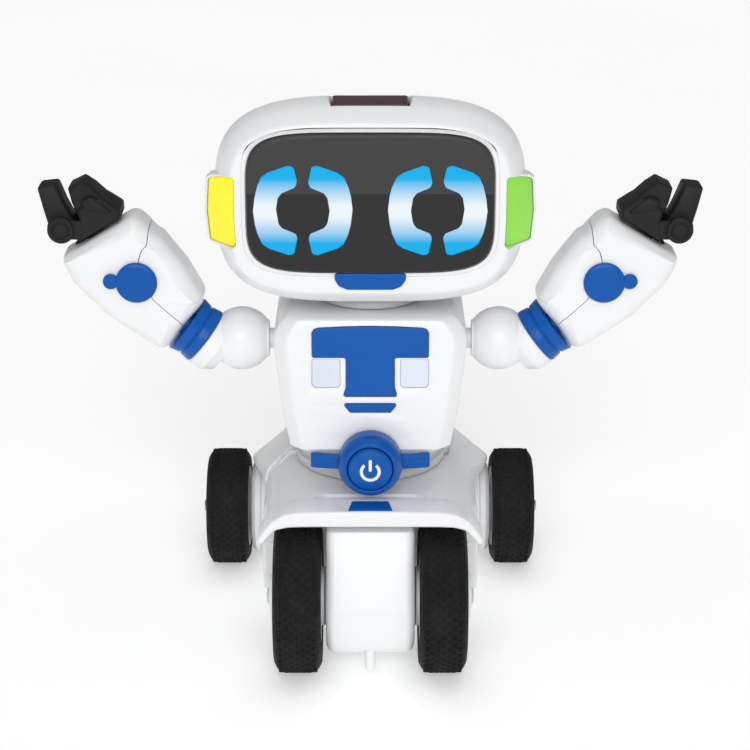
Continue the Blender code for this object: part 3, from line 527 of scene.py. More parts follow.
for side_name, side in SIDES:
    body = f"front_wheel_{side_name}"
    show(tyre(f"front_tyre_tread_{side_name}", side, FRONT_CARCASS, FRONT_Y, FRONT_Z, FRONT_R, 9.3, 28.0, 48),
         body, "tyre_rubber", f"front_tyre_{side_name}")
    rim = dished(f"front_wheel_disc_{side_name}", side,
                 ((0.0, 34.8), (1.8, 34.8), (1.8, 17.6), (11.5, 17.6), (11.5, 19.6), (14.0, 20.4), (20.2, 19.2),
                  (20.2, 36.9), (19.2, 37.7), (18.0, 37.7), (17.2, 37.0), (9.0, 38.4), (8.2, 39.2), (4.4, 39.4),
                  (0.0, 39.4)), FRONT_Y, FRONT_Z, 6, 13.0, 2.6, 37.6)
    show(rim, body, "white_plastic", f"front_rim_{side_name}")
    show(lathe(f"front_axle_cap_{side_name}", ((0.0, 39.0), (3.2, 39.0), (3.2, 40.0), (2.2, 40.4), (0.0, 40.4)),
               FRONT_AXLE, outward(side), GREY), body, "white_plastic")
    show(lathe(f"front_hub_collar_{side_name}", ((1.9, 17.3), (11.3, 17.3), (11.3, 19.5), (1.9, 19.5)),
               FRONT_AXLE, outward(side), DARK_GREY, loop=True), body, "grey_plastic")

    body = f"rear_wheel_{side_name}"
    show(tyre(f"rear_tyre_tread_{side_name}", side, REAR_CARCASS, REAR_Y, REAR_Z, REAR_R, 9.0, 61.0, 42),
         body, "tyre_rubber", f"rear_tyre_{side_name}")
    rim = dished(f"rear_wheel_disc_{side_name}", side,
                 ((1.8, 51.5), (7.5, 51.5), (8.0, 52.2), (17.2, 52.2), (17.2, 69.6), (16.2, 70.3), (15.0, 70.3),
                  (14.2, 69.6), (7.4, 70.2), (6.6, 70.6), (1.8, 70.6)), REAR_Y, REAR_Z, 6, 10.6, 2.0, 70.0,
                 loop=True)
    show(rim, body, "white_plastic", f"rear_rim_{side_name}")


# ---------------------------------------------------------------- drive drum

def drum_ring(x, inset):
    ring = []
    radius = DRUM_R - inset
    for k in range(49):
        turn = math.radians(168.0 + k * 204.0 / 48.0)
        ring.append(Vector((x, FRONT_Y + radius * math.cos(turn), FRONT_Z + radius * math.sin(turn))))
    for y, z in ((12.5 - inset, 61.7 - inset), (10.9 - inset, 62.3 - inset), (-9.0 + inset, 62.3 - inset),
                 (-10.5 + inset, 61.7 - inset)):
        ring.append(Vector((x, FRONT_Y + y, min(z, 61.9))))
    return ring


def drum():
    bend, flat = 3.7, 13.4
    half = [(0.0, 0.0), (10.0, 0.0)]
    half += [(flat + bend * math.sin(math.radians(a)), bend * (1.0 - math.cos(math.radians(a))))
             for a in (0, 18, 36, 54, 72, 90)]
    rows = [(-x, inset) for x, inset in reversed(half[1:])] + half
    shell = skin("drive_drum", [drum_ring(x, inset) for x, inset in rows], WHITE)
    hollow = skin("hollow", [drum_ring(x, inset) for x, inset in ((-15.1, 5.6), (-13.0, 2.0), (13.0, 2.0),
                                                                   (15.1, 5.6))], WHITE)
    cutters = [hollow, rod("bore", 6.0, -20.0, 20.0, FRONT_AXLE, SIDEWAYS),
               rod("peg_hole", 2.4, 3.0, 17.5, (0.0, SKID_Y, 0.0), UP, steps=40)]
    return combine(shell, cutters)


show(drum(), "chassis", "white_plastic", "drum_shell_left", "drum_shell_right")
show(lathe("skid_pin", ((0.0, 4.0), (1.2, 4.1), (2.1, 5.6), (2.1, 18.4), (3.4, 18.4), (3.4, 20.2), (0.0, 20.2)),
           (0.0, SKID_Y, 0.0), UP, WHITE, corner=0.7), "chassis", "white_plastic", "skid_peg")


# ---------------------------------------------------------------- chassis

def shell_ring(y, top, top_half, lip_half, lip_z, under_half, under_z, side_half, side_z, bottom):
    half = ((top_half, top), (lip_half, lip_z), (under_half, under_z), (side_half, side_z), (side_half, bottom))
    corners = [(x, z) for x, z in mirrored(half)]
    return [Vector((point.x, y, point.y)) for point, _ in fillet(corners, 2.2, arc=4)]


def chassis_shell():
    low = SPLIT_Z + SEAM
    rows = ((-46.2, DECK_Z, 30.0, 37.6, 66.6, 39.6, 63.5, 40.6, 60.0, low),
            (-20.0, DECK_Z, 31.5, 38.6, 65.4, 41.0, 60.0, 42.9, 52.0, low),
            (8.0, DECK_Z, 33.0, 41.6, 61.5, 43.6, 57.0, 42.9, 50.0, low),
            (32.0, 69.2, 34.6, 48.4, 53.6, 48.2, 51.2, 42.9, 47.6, low),
            (54.0, 61.5, 35.0, 50.4, 48.4, 50.2, 46.6, 42.9, 43.0, low),
            (66.0, 56.5, 32.0, 46.0, 46.0, 46.0, 44.0, 41.0, 41.0, low),
            (72.0, 51.6, 28.0, 41.0, 45.5, 40.6, 43.6, 38.4, 41.0, low),
            (73.5, 48.5, 25.0, 37.6, 44.5, 37.4, 43.0, 36.0, 41.0, low))
    inner = ((-12.4, 68.5, 29.8, 37.0, 62.8, 39.4, 58.0, 40.9, 50.5, 35.2),
             (8.0, 68.5, 31.5, 39.0, 60.0, 40.6, 56.0, 40.9, 49.0, 35.2),
             (32.0, 67.0, 32.8, 44.8, 52.8, 44.8, 51.0, 40.9, 46.6, 35.2),
             (54.0, 59.4, 33.5, 42.5, 49.0, 42.5, 46.6, 40.9, 43.0, 35.2),
             (65.5, 54.0, 30.0, 40.0, 46.0, 40.0, 43.6, 38.8, 40.0, 35.2),
             (71.3, 47.2, 25.0, 36.0, 45.0, 36.0, 42.6, 35.0, 39.0, 35.2))
    shell = skin("chassis_cover", [shell_ring(*row) for row in between(rows, 6)], WHITE)
    arch = [(-60.0, 20.0), (-14.5, 20.0), (-14.5, 46.0), (-18.5, 56.0), (-26.0, 62.0), (-60.0, 62.0)]
    cutters = [skin("hollow", [shell_ring(*row) for row in between(inner, 3)], WHITE),
               slab("arch", arch, -60.0, 60.0, WHITE, edge=0.0, corner=5.0, place=along_x),
               slab("deck_recess", ((-21.0, -48.0), (21.0, -48.0), (21.0, -43.6), (17.5, -41.4), (-17.5, -41.4),
                                    (-21.0, -43.6)), 69.3, 74.0, WHITE, edge=0.0, corner=1.0, place=along_z)]
    for side_name, side in SIDES:
        cutters.append(rod("housing_room", 21.7, 43.1, 54.0, REAR_AXLE, outward(side)))
    return combine(shell, cutters)


def chassis_tub():
    outline = ((-13.0, SPLIT_Z), (-13.0, 22.0), (-9.0, 14.5), (-2.0, 11.0), (60.0, 11.0), (68.0, 14.5),
               (72.0, 22.0), (73.0, SPLIT_Z))
    inside = ((-11.0, 41.0), (-11.0, 22.6), (-7.6, 16.0), (-1.5, 13.0), (59.5, 13.0), (66.6, 16.0), (70.0, 22.6),
              (71.0, 41.0))
    tub = slab("chassis_tub", outline, -43.7, 43.7, WHITE, edge=1.4, corner=3.0, place=along_x)
    combine(tub, [slab("hollow", inside, -41.7, 41.7, WHITE, edge=0.0, corner=2.0, place=along_x)])
    housings = [lathe("housing", ((0.0, 42.4), (21.3, 42.4), (21.3, 46.6), (19.8, 47.0), (19.8, 49.2), (18.2, 50.8),
                                  (0.0, 50.8)), REAR_AXLE, outward(side), WHITE)
                for _, side in SIDES]
    posts = [lathe("post", ((0.0, 12.0), (2.6, 12.0), (2.6, 29.7), (0.0, 29.7)), (x, y, 0.0), UP,
                   WHITE, steps=24) for x in (-26.0, 26.0) for y in (0.0, 40.0)]
    combine(tub, housings + posts, "UNION")
    wells = [rod("well", 2.1, 9.0, 13.5, (x, y, 0.0), UP, steps=24) for x in (-34.0, 34.0) for y in (-1.0, 56.0)]
    bore = rod("axle_bore", 1.8, -60.0, 60.0, REAR_AXLE, SIDEWAYS, steps=32)
    slot = block("slot", (-5.3, 8.0, 9.0), (5.3, 12.0, 13.5), corner=0.0)
    return combine(tub, wells + [bore, slot])


show(chassis_shell(), "chassis", "white_plastic", "chassis_top_shell")
show(chassis_tub(), "chassis", "white_plastic", "chassis_base")

FENDER_TOP = ((0.0, 71.4), (16.0, 71.3), (28.5, 71.0), (33.5, 69.8), (37.5, 67.3), (40.8, 63.2), (43.4, 58.6))
FENDER_UNDER = ((41.2, 57.4), (39.2, 60.2), (36.2, 63.6), (31.5, 64.7), (26.0, 64.9), (0.0, 65.0))
TAB = ((-8.4, -59.6), (8.4, -59.6), (7.0, -51.0), (-7.0, -51.0))


def fender():
    outline = list(FENDER_TOP) + list(FENDER_UNDER)
    outline += [(-x, z) for x, z in reversed(FENDER_UNDER[:-1])] + [(-x, z) for x, z in reversed(FENDER_TOP[1:])]
    lip = slab("fender_lip", outline, -61.0, -46.5, WHITE, edge=1.1, corner=4.0)
    return soften(combine(lip, [slab("tab_room", grown(TAB, 0.25), 70.2, 74.0, WHITE, edge=0.0, corner=0.6,
                                     place=along_z)]), 0.2)


show(fender(), "chassis", "white_plastic", "front_fender")
show(slab("fender_key", TAB, 70.4, 71.8, BLUE, edge=0.35, corner=0.6, place=along_z), "chassis", "blue_plastic",
     "fender_tab")
show(lathe("waist_turntable", ((0.0, 70.8), (30.0, 70.8), (29.9, 74.4), (28.6, 75.4), (27.2, 82.0), (26.2, 84.5),
                               (0.0, 84.5)), ORIGIN, UP, GREY, corner=0.8, steps=96),
     "chassis", "grey_plastic", "waist_ring")


# ---------------------------------------------------------------- torso

def torso_ring(z, half, front, back, shrink=0.0):
    c = TORSO_CORNER
    half, front, back = half - shrink, front + shrink, back - shrink
    corners = ((half - c, front), (half, front + c), (half, back - c), (half - c, back), (c - half, back),
               (-half, back - c), (-half, front + c), (c - half, front))
    return [Vector((point.x, point.y, z)) for point, _ in fillet(corners, 2.8 - 0.6 * shrink, arc=5)]


def face_y(z):
    """Where the tilted front face of the torso lies at height z."""
    (low_z, _, low_y, _), rise, lean = TORSO[2], 50.6, 6.0
    return low_y + lean * (z - low_z) / rise


def on_chest(u, v, depth):
    return u, face_y(v) + depth, v


BAND = ((22.3, 133.4), (21.6, 134.7), (20.0, 135.3), (10.0, 135.8), (0.0, 136.0), (-10.0, 135.8), (-20.0, 135.3),
        (-21.6, 134.7), (-22.3, 133.4), (-22.3, 123.9), (-9.3, 123.9), (-9.3, 112.2), (-10.6, 108.7),
        (10.6, 108.7), (9.3, 112.2), (9.3, 123.9), (22.3, 123.9))
WING = ((22.3, 123.2), (22.3, 113.4), (21.4, 112.2), (12.6, 112.2), (11.6, 113.2), (11.6, 123.2))
LOWER_SLAT = ((10.9, 106.0), (7.8, 102.5), (-7.8, 102.5), (-10.9, 106.0))


def torso():
    rings = [torso_ring(*row) for row in TORSO]
    inside = [torso_ring(*row, shrink=2.0) for row in ((87.0, 27.5, -35.5, 28.5), *TORSO[3:8],
                                                       (136.0, 33.2, -32.2, 29.2))]
    hollow = skin("hollow", inside, WHITE)
    neck = rod("neck_hole", 6.4, 130.0, 145.0, ORIGIN, UP)
    shoulders = [rod("shoulder_hole", 4.4, 25.0, 45.0, (0.0, ARM_Y, SHOULDER[1]), outward(side)) for _, side in SIDES]
    rooms = [slab(f"{label}_room", grown(outline, 0.25), -3.0, 0.9, WHITE, edge=0.0, corner=0.9, place=on_chest)
             for label, outline in (("band", BAND), ("slat", LOWER_SLAT), ("wing_left", WING),
                                    ("wing_right", [(-x, z) for x, z in WING]))]
    belt_hole = rod("belt_hole", 3.3, 30.0, 45.0, BELT_PEG, FORWARD, steps=32)
    door = block("door_room", (-22.9, 25.0, 90.0), (22.9, 34.0, 134.0), corner=2.0)
    made = []
    for name, away, cutters in (
        ("torso_front_cover", ((-50.0, -5.15, 80.0), (50.0, 60.0, 145.0)), [*rooms, belt_hole]),
        ("torso_back_cover", ((-50.0, -60.0, 80.0), (50.0, -4.85, 145.0)), [door]),
    ):
        shell = skin(name, rings, WHITE)
        combine(shell, [hollow, neck, *shoulders], keep=True)
        combine(shell, [block("away", *away), *cutters])
        made.append(soften(shell, 0.2))
    for used in (hollow, neck, *shoulders):
        bpy.data.objects.remove(used)
    return made


torso_front, torso_back = torso()
show(torso_front, "chassis", "white_plastic", "torso_front_shell")
show(torso_back, "chassis", "white_plastic", "torso_rear_shell")
show(slab("chest_band", BAND, -0.45, 0.9, BLUE, edge=0.3, corner=0.9, place=on_chest), "chassis", "blue_plastic",
     "chest_panel")
show(slab("chest_slat", LOWER_SLAT, -0.45, 0.9, BLUE, edge=0.3, corner=0.6, place=on_chest), "chassis",
     "blue_plastic", "chest_slats")
for side_name, side in SIDES:
    show(slab(f"chest_wing_{side_name}", at_side(WING, side), 0.1, 0.9, PALE, edge=0.2, corner=0.9, place=on_chest),
         "chassis", "white_plastic")


def belt():
    boss = lathe("belt_boss", ((0.0, 39.0), (11.9, 39.0), (12.3, 41.0), (12.3, 46.2), (11.7, 48.0), (10.6, 49.6),
                               (10.3, 50.2), (8.8, 50.2), (8.8, 45.4), (0.0, 45.4)), BOSS,
                 FORWARD, BLUE, corner=0.6, steps=96)
    across = [-23.0 + 46.0 * step / 24.0 for step in range(25)]
    front = [(x, -39.6 - 2.6 * (1.0 - (x / 23.0) ** 2)) for x in across]
    back = [(x, y + 2.6) for x, y in reversed(front)]
    wings = slab("wings", front + back, 80.8, 86.6, BLUE, edge=0.7, corner=0.9, place=along_z, arc=2)
    peg = lathe("peg", ((0.0, 33.0), (2.2, 33.0), (2.2, 40.0), (0.0, 40.0)), BELT_PEG, FORWARD,
                BLUE, steps=32)
    return combine(boss, [wings, peg], "UNION")


def power_symbol():
    """A ring open at the top with an upright bar in the opening."""
    pieces = []
    outline = [(4.0 * math.cos(math.radians(a)), BOSS_Z - 0.3 + 4.0 * math.sin(math.radians(a)))
               for a in range(128, 413, 8)]
    outline += [(2.8 * math.cos(math.radians(a)), BOSS_Z - 0.3 + 2.8 * math.sin(math.radians(a)))
                for a in range(412, 127, -8)]
    pieces.append(slab("arc", outline, -52.0, -51.2, WHITE, edge=0.15, corner=0.2))
    pieces.append(slab("bar", ((-0.6, BOSS_Z - 0.2), (0.6, BOSS_Z - 0.2), (0.6, BOSS_Z + 4.6), (-0.6, BOSS_Z + 4.6)),
                       -52.0, -51.2, WHITE, edge=0.15, corner=0.5))
    return merge("button_symbol", pieces)


show(belt(), "chassis", "blue_plastic", "belt")
show(lathe("waist_push_button", ((0.0, 46.9), (8.5, 46.9), (8.5, 50.2), (7.7, 51.2), (5.0, 51.7), (0.0, 51.85)),
           BOSS, FORWARD, BLUE, corner=0.7, steps=96), "waist_button", "blue_plastic",
     "waist_button")
show(power_symbol(), "waist_button", "white_plastic")


def battery_door():
    door = block("battery_cover", (-22.6, 27.2, 90.3), (22.6, 30.2, 133.7), WHITE, edge=0.5, corner=1.8)
    cutters = [lathe("screw_room", ((0.0, 20.0), (1.5, 20.0), (1.5, 28.2), (2.9, 28.6), (2.9, 34.0), (0.0, 34.0)),
                     DOOR_MIDDLE, BACKWARD, WHITE, corner=0.0, steps=40)]
    for row in range(4):
        z = 126.6 + 1.7 * row
        cutters.append(slab("rib", ((-8.0, z), (8.0, z), (8.0, z + 0.8), (-8.0, z + 0.8)), 29.7, 32.0, WHITE,
                            edge=0.0, corner=0.35))
    return combine(door, cutters)


def door_screw():
    screw = lathe("door_screw_head", ((0.0, 17.0), (0.7, 17.4), (0.7, 27.5), (1.2, 27.6), (1.2, 28.8), (2.6, 29.0),
                                      (2.5, 29.9), (0.0, 30.2)), DOOR_MIDDLE, BACKWARD, STEEL,
                  corner=0.15, steps=40)
    return combine(screw, [block("cross_a", (-1.6, 29.5, 111.65), (1.6, 31.0, 112.35)),
                           block("cross_b", (-0.35, 29.5, 110.4), (0.35, 31.0, 113.6))])


show(battery_door(), "battery_door", "white_plastic", "battery_door")
show(door_screw(), "battery_door", "steel", "battery_door_screw")
show(lathe("neck_collar", ((0.0, 131.5), (9.0, 131.5), (9.0, 136.0), (6.0, 136.0), (6.0, 138.8), (20.5, 138.8),
                           (20.3, 140.8), (19.4, 142.0), (6.0, 142.4), (6.0, 149.2), (8.6, 149.2), (8.6, 151.0),
                           (0.0, 151.4)), ORIGIN, UP, GREY, corner=0.5),
     "chassis", "grey_plastic", "neck_post")


# ---------------------------------------------------------------- head

def head_ring(y, half_w, half_h, centre_z, power, count=144):
    ring = []
    for k in range(count):
        a = 2.0 * math.pi * (k + 0.5) / count
        c, s = math.cos(a), math.sin(a)
        reach = (abs(c) ** power + abs(s) ** power) ** (-1.0 / power)
        ring.append(Vector((half_w * reach * c, y, centre_z + half_h * reach * s)))
    return ring


def visor_row(y, grow):
    return y, 46.0 + grow, 26.6 + grow, VISOR_Z, 5.0


FRAME_OUTER = ((-22.0, 58.5, 40.0, 183.0, 3.3), (-26.0, 57.8, 39.1, 183.0, 3.4), (-30.0, 56.6, 37.6, 183.1, 3.5),
               (-34.0, 54.6, 35.2, 183.15, 3.7), (-36.6, 52.9, 33.4, 183.2, 3.8))
FRAME_EDGE = ((-37.3, 52.3, 32.9, 183.2, 3.85), (-37.8, 51.6, 32.2, 183.2, 3.9), (-38.0, 50.8, 31.5, 183.25, 3.95))
FRAME_FACE = ((-38.0, 48.6, 29.3, 184.9, 4.6), visor_row(-38.0, 2.1), visor_row(-37.85, 1.85), visor_row(-37.3, 1.6),
              visor_row(-37.2, 0.95), visor_row(-38.0, 0.8), visor_row(-38.15, 0.65), visor_row(-38.1, 0.4),
              visor_row(-37.9, 0.3), visor_row(-36.5, 0.3), visor_row(-36.5, -2.2), visor_row(-33.4, -2.2))
FRAME_INNER = ((-33.4, 49.0, 30.6, 183.2, 3.8), (-22.0, 55.8, 37.3, 183.0, 3.3))
REAR_OUTER = ((-21.7, 58.5, 40.0, 183.0, 3.3), (-14.0, 58.4, 38.9, 182.2, 3.25), (-8.0, 58.0, 37.8, 181.4, 3.2),
              (4.0, 55.8, 34.5, 180.0, 3.05), (12.0, 52.2, 31.3, 179.2, 2.9), (18.0, 47.0, 26.6, 178.6, 2.75),
              (21.0, 41.5, 21.8, 178.3, 2.65), (22.0, 35.0, 17.0, 178.3, 2.6))
REAR_INNER = ((19.6, 36.5, 18.6, 178.4, 2.6), (15.4, 45.4, 26.0, 178.8, 2.8), (7.0, 52.4, 31.2, 179.6, 3.0),
              (-8.0, 55.8, 35.7, 181.4, 3.2), (-21.7, 56.2, 37.6, 183.0, 3.3))
EAR = ((59.2, 193.2), (50.6, 196.0), (50.8, 180.0), (50.4, 169.4), (51.6, 168.2), (60.2, 169.2), (61.2, 180.0),
       (60.4, 192.4))
EAR_SLANT = ((44.0, -42.0), (44.0, -41.6), (66.0, -22.7), (66.0, -42.0))
MOUTH = ((13.4, 158.9), (13.2, 156.4), (11.6, 153.9), (8.6, 152.6), (-8.6, 152.6), (-11.6, 153.9), (-13.2, 156.4),
         (-13.4, 158.9))
NOTCH = ((-17.4, 225.5), (-16.2, 223.2), (-14.5, 220.4), (-14.4, 217.6), (14.4, 217.6), (14.5, 220.4), (16.2, 223.2),
         (17.4, 225.5))


def head_front():
    rows = between(FRAME_OUTER, 3) + list(FRAME_EDGE) + list(FRAME_FACE) + list(FRAME_INNER)
    shell = skin("head_front_cover", [head_ring(*row) for row in rows], WHITE, loop=True)
    lugs = [combine(slab("lug", grown(at_side(EAR, side), 1.3), -36.9, -22.2, WHITE, edge=0.4, corner=2.2),
                    [slab("slant", at_side(EAR_SLANT, side), 160.0, 205.0, WHITE, edge=0.0, corner=0.1,
                          place=along_z)]) for _, side in SIDES]
    combine(shell, lugs, "UNION")
    cutters = [slab("ear_room", grown(at_side(EAR, side), 0.35), -45.0, -23.6, WHITE, edge=0.0, corner=1.3)
               for _, side in SIDES]
    cutters.append(slab("mouth_room", grown(MOUTH, 0.25), -45.0, -37.0, WHITE, edge=0.0, corner=2.0))
    cutters.append(slab("notch", NOTCH, -29.8, -13.6, WHITE, edge=0.0, corner=0.8))
    return combine(shell, cutters)


def head_back():
    rows = list(REAR_INNER) + between(REAR_OUTER, 4)
    shell = skin("head_rear_cover", [head_ring(*row) for row in rows], WHITE)
    cutters = [slab("notch", NOTCH, -29.8, -13.6, WHITE, edge=0.0, corner=0.8),
               rod("neck_hole", 6.4, 138.0, 152.0, ORIGIN, UP)]
    for row in range(5):
        z = 166.0 + 3.4 * row
        cutters.append(slab("vent", ((-9.0, z), (9.0, z), (9.0, z + 1.4), (-9.0, z + 1.4)), 17.0, 24.0, WHITE,
                            edge=0.0, corner=0.65))
    return combine(shell, cutters)


def bracket(centre_x, turn, grow):
    half = [(turn * x, z) for x, z in BRACKET]
    ring = half + [(x, -z) for x, z in half[-2:0:-1]]
    return [(centre_x + x, EYE_Z + z) for x, z in grown(ring, grow)]


def visor_and_eyes():
    rows = [visor_row(-39.2, -1.6), visor_row(-39.12, -0.9), visor_row(-38.9, -0.4), visor_row(-38.5, -0.1),
            visor_row(-38.1, 0.0), visor_row(-36.8, 0.0)]
    glass = skin("visor_glass", [head_ring(*row) for row in rows], VISOR)
    windows = []
    eyes = {}
    for side_name, side in SIDES:
        parts = []
        for turn in (side, -side):
            windows.append(slab("window", bracket(side * EYE_X, turn, 0.1), -42.0, -34.0, VISOR, edge=0.0,
                                corner=1.5))
            parts.append(slab("glow", bracket(side * EYE_X, turn, -0.12), -39.4, -36.2, EYE, edge=0.2, corner=1.5))
        eyes[side_name] = merge(f"eye_glow_{side_name}", parts)
    return combine(glass, windows), eyes


show(head_front(), "head", "white_plastic", "face_frame")
show(head_back(), "head", "white_plastic", "head_rear_shell")
glass, eyes = visor_and_eyes()
show(glass, "head", "visor_black", "visor")
for side_name, side in SIDES:
    show(eyes[side_name], "head", "eye_cyan", f"eye_light_{side_name}")
    lens = slab(f"ear_lens_{side_name}", at_side(EAR, side), -37.4, -24.0, YELLOW if side < 0.0 else GREEN, edge=0.0,
                corner=1.4)
    slant = slab("slant", [(x, y + 0.5) for x, y in at_side(EAR_SLANT, side)], 160.0, 205.0, YELLOW, edge=0.0,
                 corner=0.1, place=along_z)
    lens = soften(combine(lens, [slant]), 0.4)
    show(lens, "head", "yellow_lens" if side < 0.0 else "green_lens", f"ear_light_{side_name}")
show(slab("mouth_inlay", MOUTH, -38.9, -37.3, BLUE, edge=0.35, corner=2.0), "head", "blue_plastic", "mouth_tab")
show(slab("sensor_lens", ((-14.0, 216.0), (-14.0, 220.6), (-22.0, 223.0), (-29.4, 220.9), (-29.4, 216.0)),
          -14.0, 14.0, MAROON, edge=0.8, corner=0.8, place=along_x), "head", "maroon_window", "sensor_window")


# ---------------------------------------------------------------- arms

FOREARM_BODY = ((118.8, 157.8), (95.9, 171.4), (91.9, 173.7), (88.0, 172.2), (82.5, 165.9), (80.4, 165.0),
                (71.3, 153.0), (64.8, 141.0), (65.4, 138.2), (72.6, 129.3), (80.0, 118.9), (87.3, 123.2),
                (101.9, 133.4), (114.8, 146.6), (118.6, 154.6))
COVER_REGION = ((84.6, 176.0), (85.6, 163.9), (87.9, 161.2), (88.9, 157.9), (89.2, 152.0), (83.7, 141.7),
                (74.1, 132.7), (72.7, 128.6), (70.0, 124.0), (50.0, 124.0), (50.0, 176.0))
PALM_LOW = ((114.6, 161.6), (95.7, 172.6), (95.9, 176.4), (100.9, 179.7), (104.0, 181.4), (112.6, 176.2),
            (111.6, 171.5), (112.2, 164.5))
PALM_HIGH = ((100.4, 176.0), (100.9, 179.7), (106.1, 184.6), (110.1, 187.3), (114.3, 185.2), (115.8, 184.6),
             (114.4, 178.5), (112.0, 172.6), (104.0, 173.0))
THUMB = ((97.4, 174.6), (101.6, 178.6), (106.6, 181.8), (111.0, 180.2), (109.6, 176.2), (103.0, 175.4))
FINGER = ((113.9, 171.2), (117.2, 178.0), (120.2, 185.7), (126.4, 185.0), (127.6, 184.2), (125.9, 176.6),
          (124.2, 170.0), (123.0, 165.0), (117.0, 163.6))


def shoulder(side_name, side, centre, elbow, axis):
    arc = [(12.5 * math.sin(math.radians(a)), 12.5 * math.cos(math.radians(a))) for a in range(0, 145, 8)]
    ball = lathe(f"shoulder_joint_{side_name}", arc + [(7.2, -10.8), (4.0, -10.8), (4.0, -17.4), (6.4, -17.4),
                                                      (6.4, -19.2), (0.0, -19.2)],
                 centre, outward(side), WHITE, corner=0.0)
    combine(ball, [lathe("collar", ((0.0, -19.0), (9.0, -19.0), (11.7, -15.0), (11.7, -9.9), (11.2, -9.3),
                                    (0.0, -9.3)), elbow, axis, WHITE)], "UNION")
    return combine(ball, [lathe("socket", ((0.0, -17.3), (5.3, -17.3), (5.3, -9.3), (15.0, -9.3), (15.0, 0.0),
                                           (0.0, 0.0)), elbow, axis, WHITE, corner=0.0)])


def forearm(side_name, side, elbow, axis, wrist, wrist_axis):
    bores = [rod("elbow_bore", 5.3, -4.0, 8.8, elbow, axis),
             rod("wrist_bore", 4.8, -9.4, 12.0, wrist, wrist_axis),
             rod("cap_bore", 4.3, -14.0, -6.0, (side * 90.0, ARM_Y, 149.1), BACKWARD)]
    made = []
    for name, region, operation in ((f"forearm_main_{side_name}", grown(COVER_REGION, 0.16), "DIFFERENCE"),
                                    (f"forearm_lid_{side_name}", grown(COVER_REGION, -0.16), "INTERSECT")):
        part = slab(name, at_side(FOREARM_BODY, side), ARM_Y - 13.0, ARM_Y + 13.0, WHITE, edge=8.0, inset=6.5,
                    corner=7.5)
        combine(part, [slab("region", at_side(region, side), ARM_Y - 20.0, ARM_Y + 20.0, WHITE, edge=0.0,
                            corner=1.2)], operation)
        made.append(combine(part, bores, keep=True))
    for bore in bores:
        bpy.data.objects.remove(bore)
    return made


def hand(side_name, side, wrist, wrist_axis, pivot):
    across = BACKWARD
    palm = slab(f"palm_block_{side_name}", at_side(PALM_LOW, side), ARM_Y - 8.5, ARM_Y + 8.5, BLACK, edge=1.8,
                corner=1.5)
    others = [slab("fingers", at_side(PALM_HIGH, side), ARM_Y - 6.9, ARM_Y + 6.9, BLACK, edge=1.6, corner=1.2),
              slab("thumb", at_side(THUMB, side), ARM_Y - 9.4, ARM_Y + 9.4, BLACK, edge=1.6, corner=1.4),
              lathe("stub", ((0.0, -9.0), (4.5, -9.0), (4.5, 4.0), (0.0, 4.0)), wrist, wrist_axis, BLACK)]
    combine(palm, others, "UNION")
    combine(palm, [rod("room", 7.0, -6.3, 6.3, pivot, across, look=BLACK)])
    cheeks = [lathe("cheek", ((0.0, 6.5), (5.2, 6.5), (5.2, 8.8), (4.6, 9.4), (3.6, 9.4), (3.3, 9.0), (2.9, 9.0),
                              (2.6, 9.4), (0.0, 9.4)), pivot, (0.0, turn, 0.0), BLACK, corner=0.2)
              for turn in (-1.0, 1.0)]
    bridges = [slab("bridge", at_side(((110.5, 164.6), (118.0, 164.6), (118.0, 172.0), (110.5, 172.0)), side), low,
                    high, BLACK, edge=0.4, corner=1.0)
               for low, high in ((ARM_Y - 8.3, ARM_Y - 6.6), (ARM_Y + 6.6, ARM_Y + 8.3))]
    pin = lathe("pin", ((0.0, -7.5), (1.4, -7.5), (1.4, 7.5), (0.0, 7.5)), pivot, across, BLACK, corner=0.0,
                steps=32)
    combine(palm, [*cheeks, *bridges, pin], "UNION")

    finger = lathe(f"finger_blade_{side_name}", ((1.7, -6.0), (5.6, -6.0), (5.6, 6.0), (1.7, 6.0)), pivot, across,
                   BLACK, loop=True)
    blade = slab("blade", at_side(FINGER, side), ARM_Y - 5.6, ARM_Y + 5.6, BLACK, edge=1.5, corner=1.3)
    combine(finger, [blade], "UNION")
    combine(finger, [rod("pin_room", 1.7, -9.0, 9.0, pivot, across, steps=32, look=BLACK)])
    return palm, finger


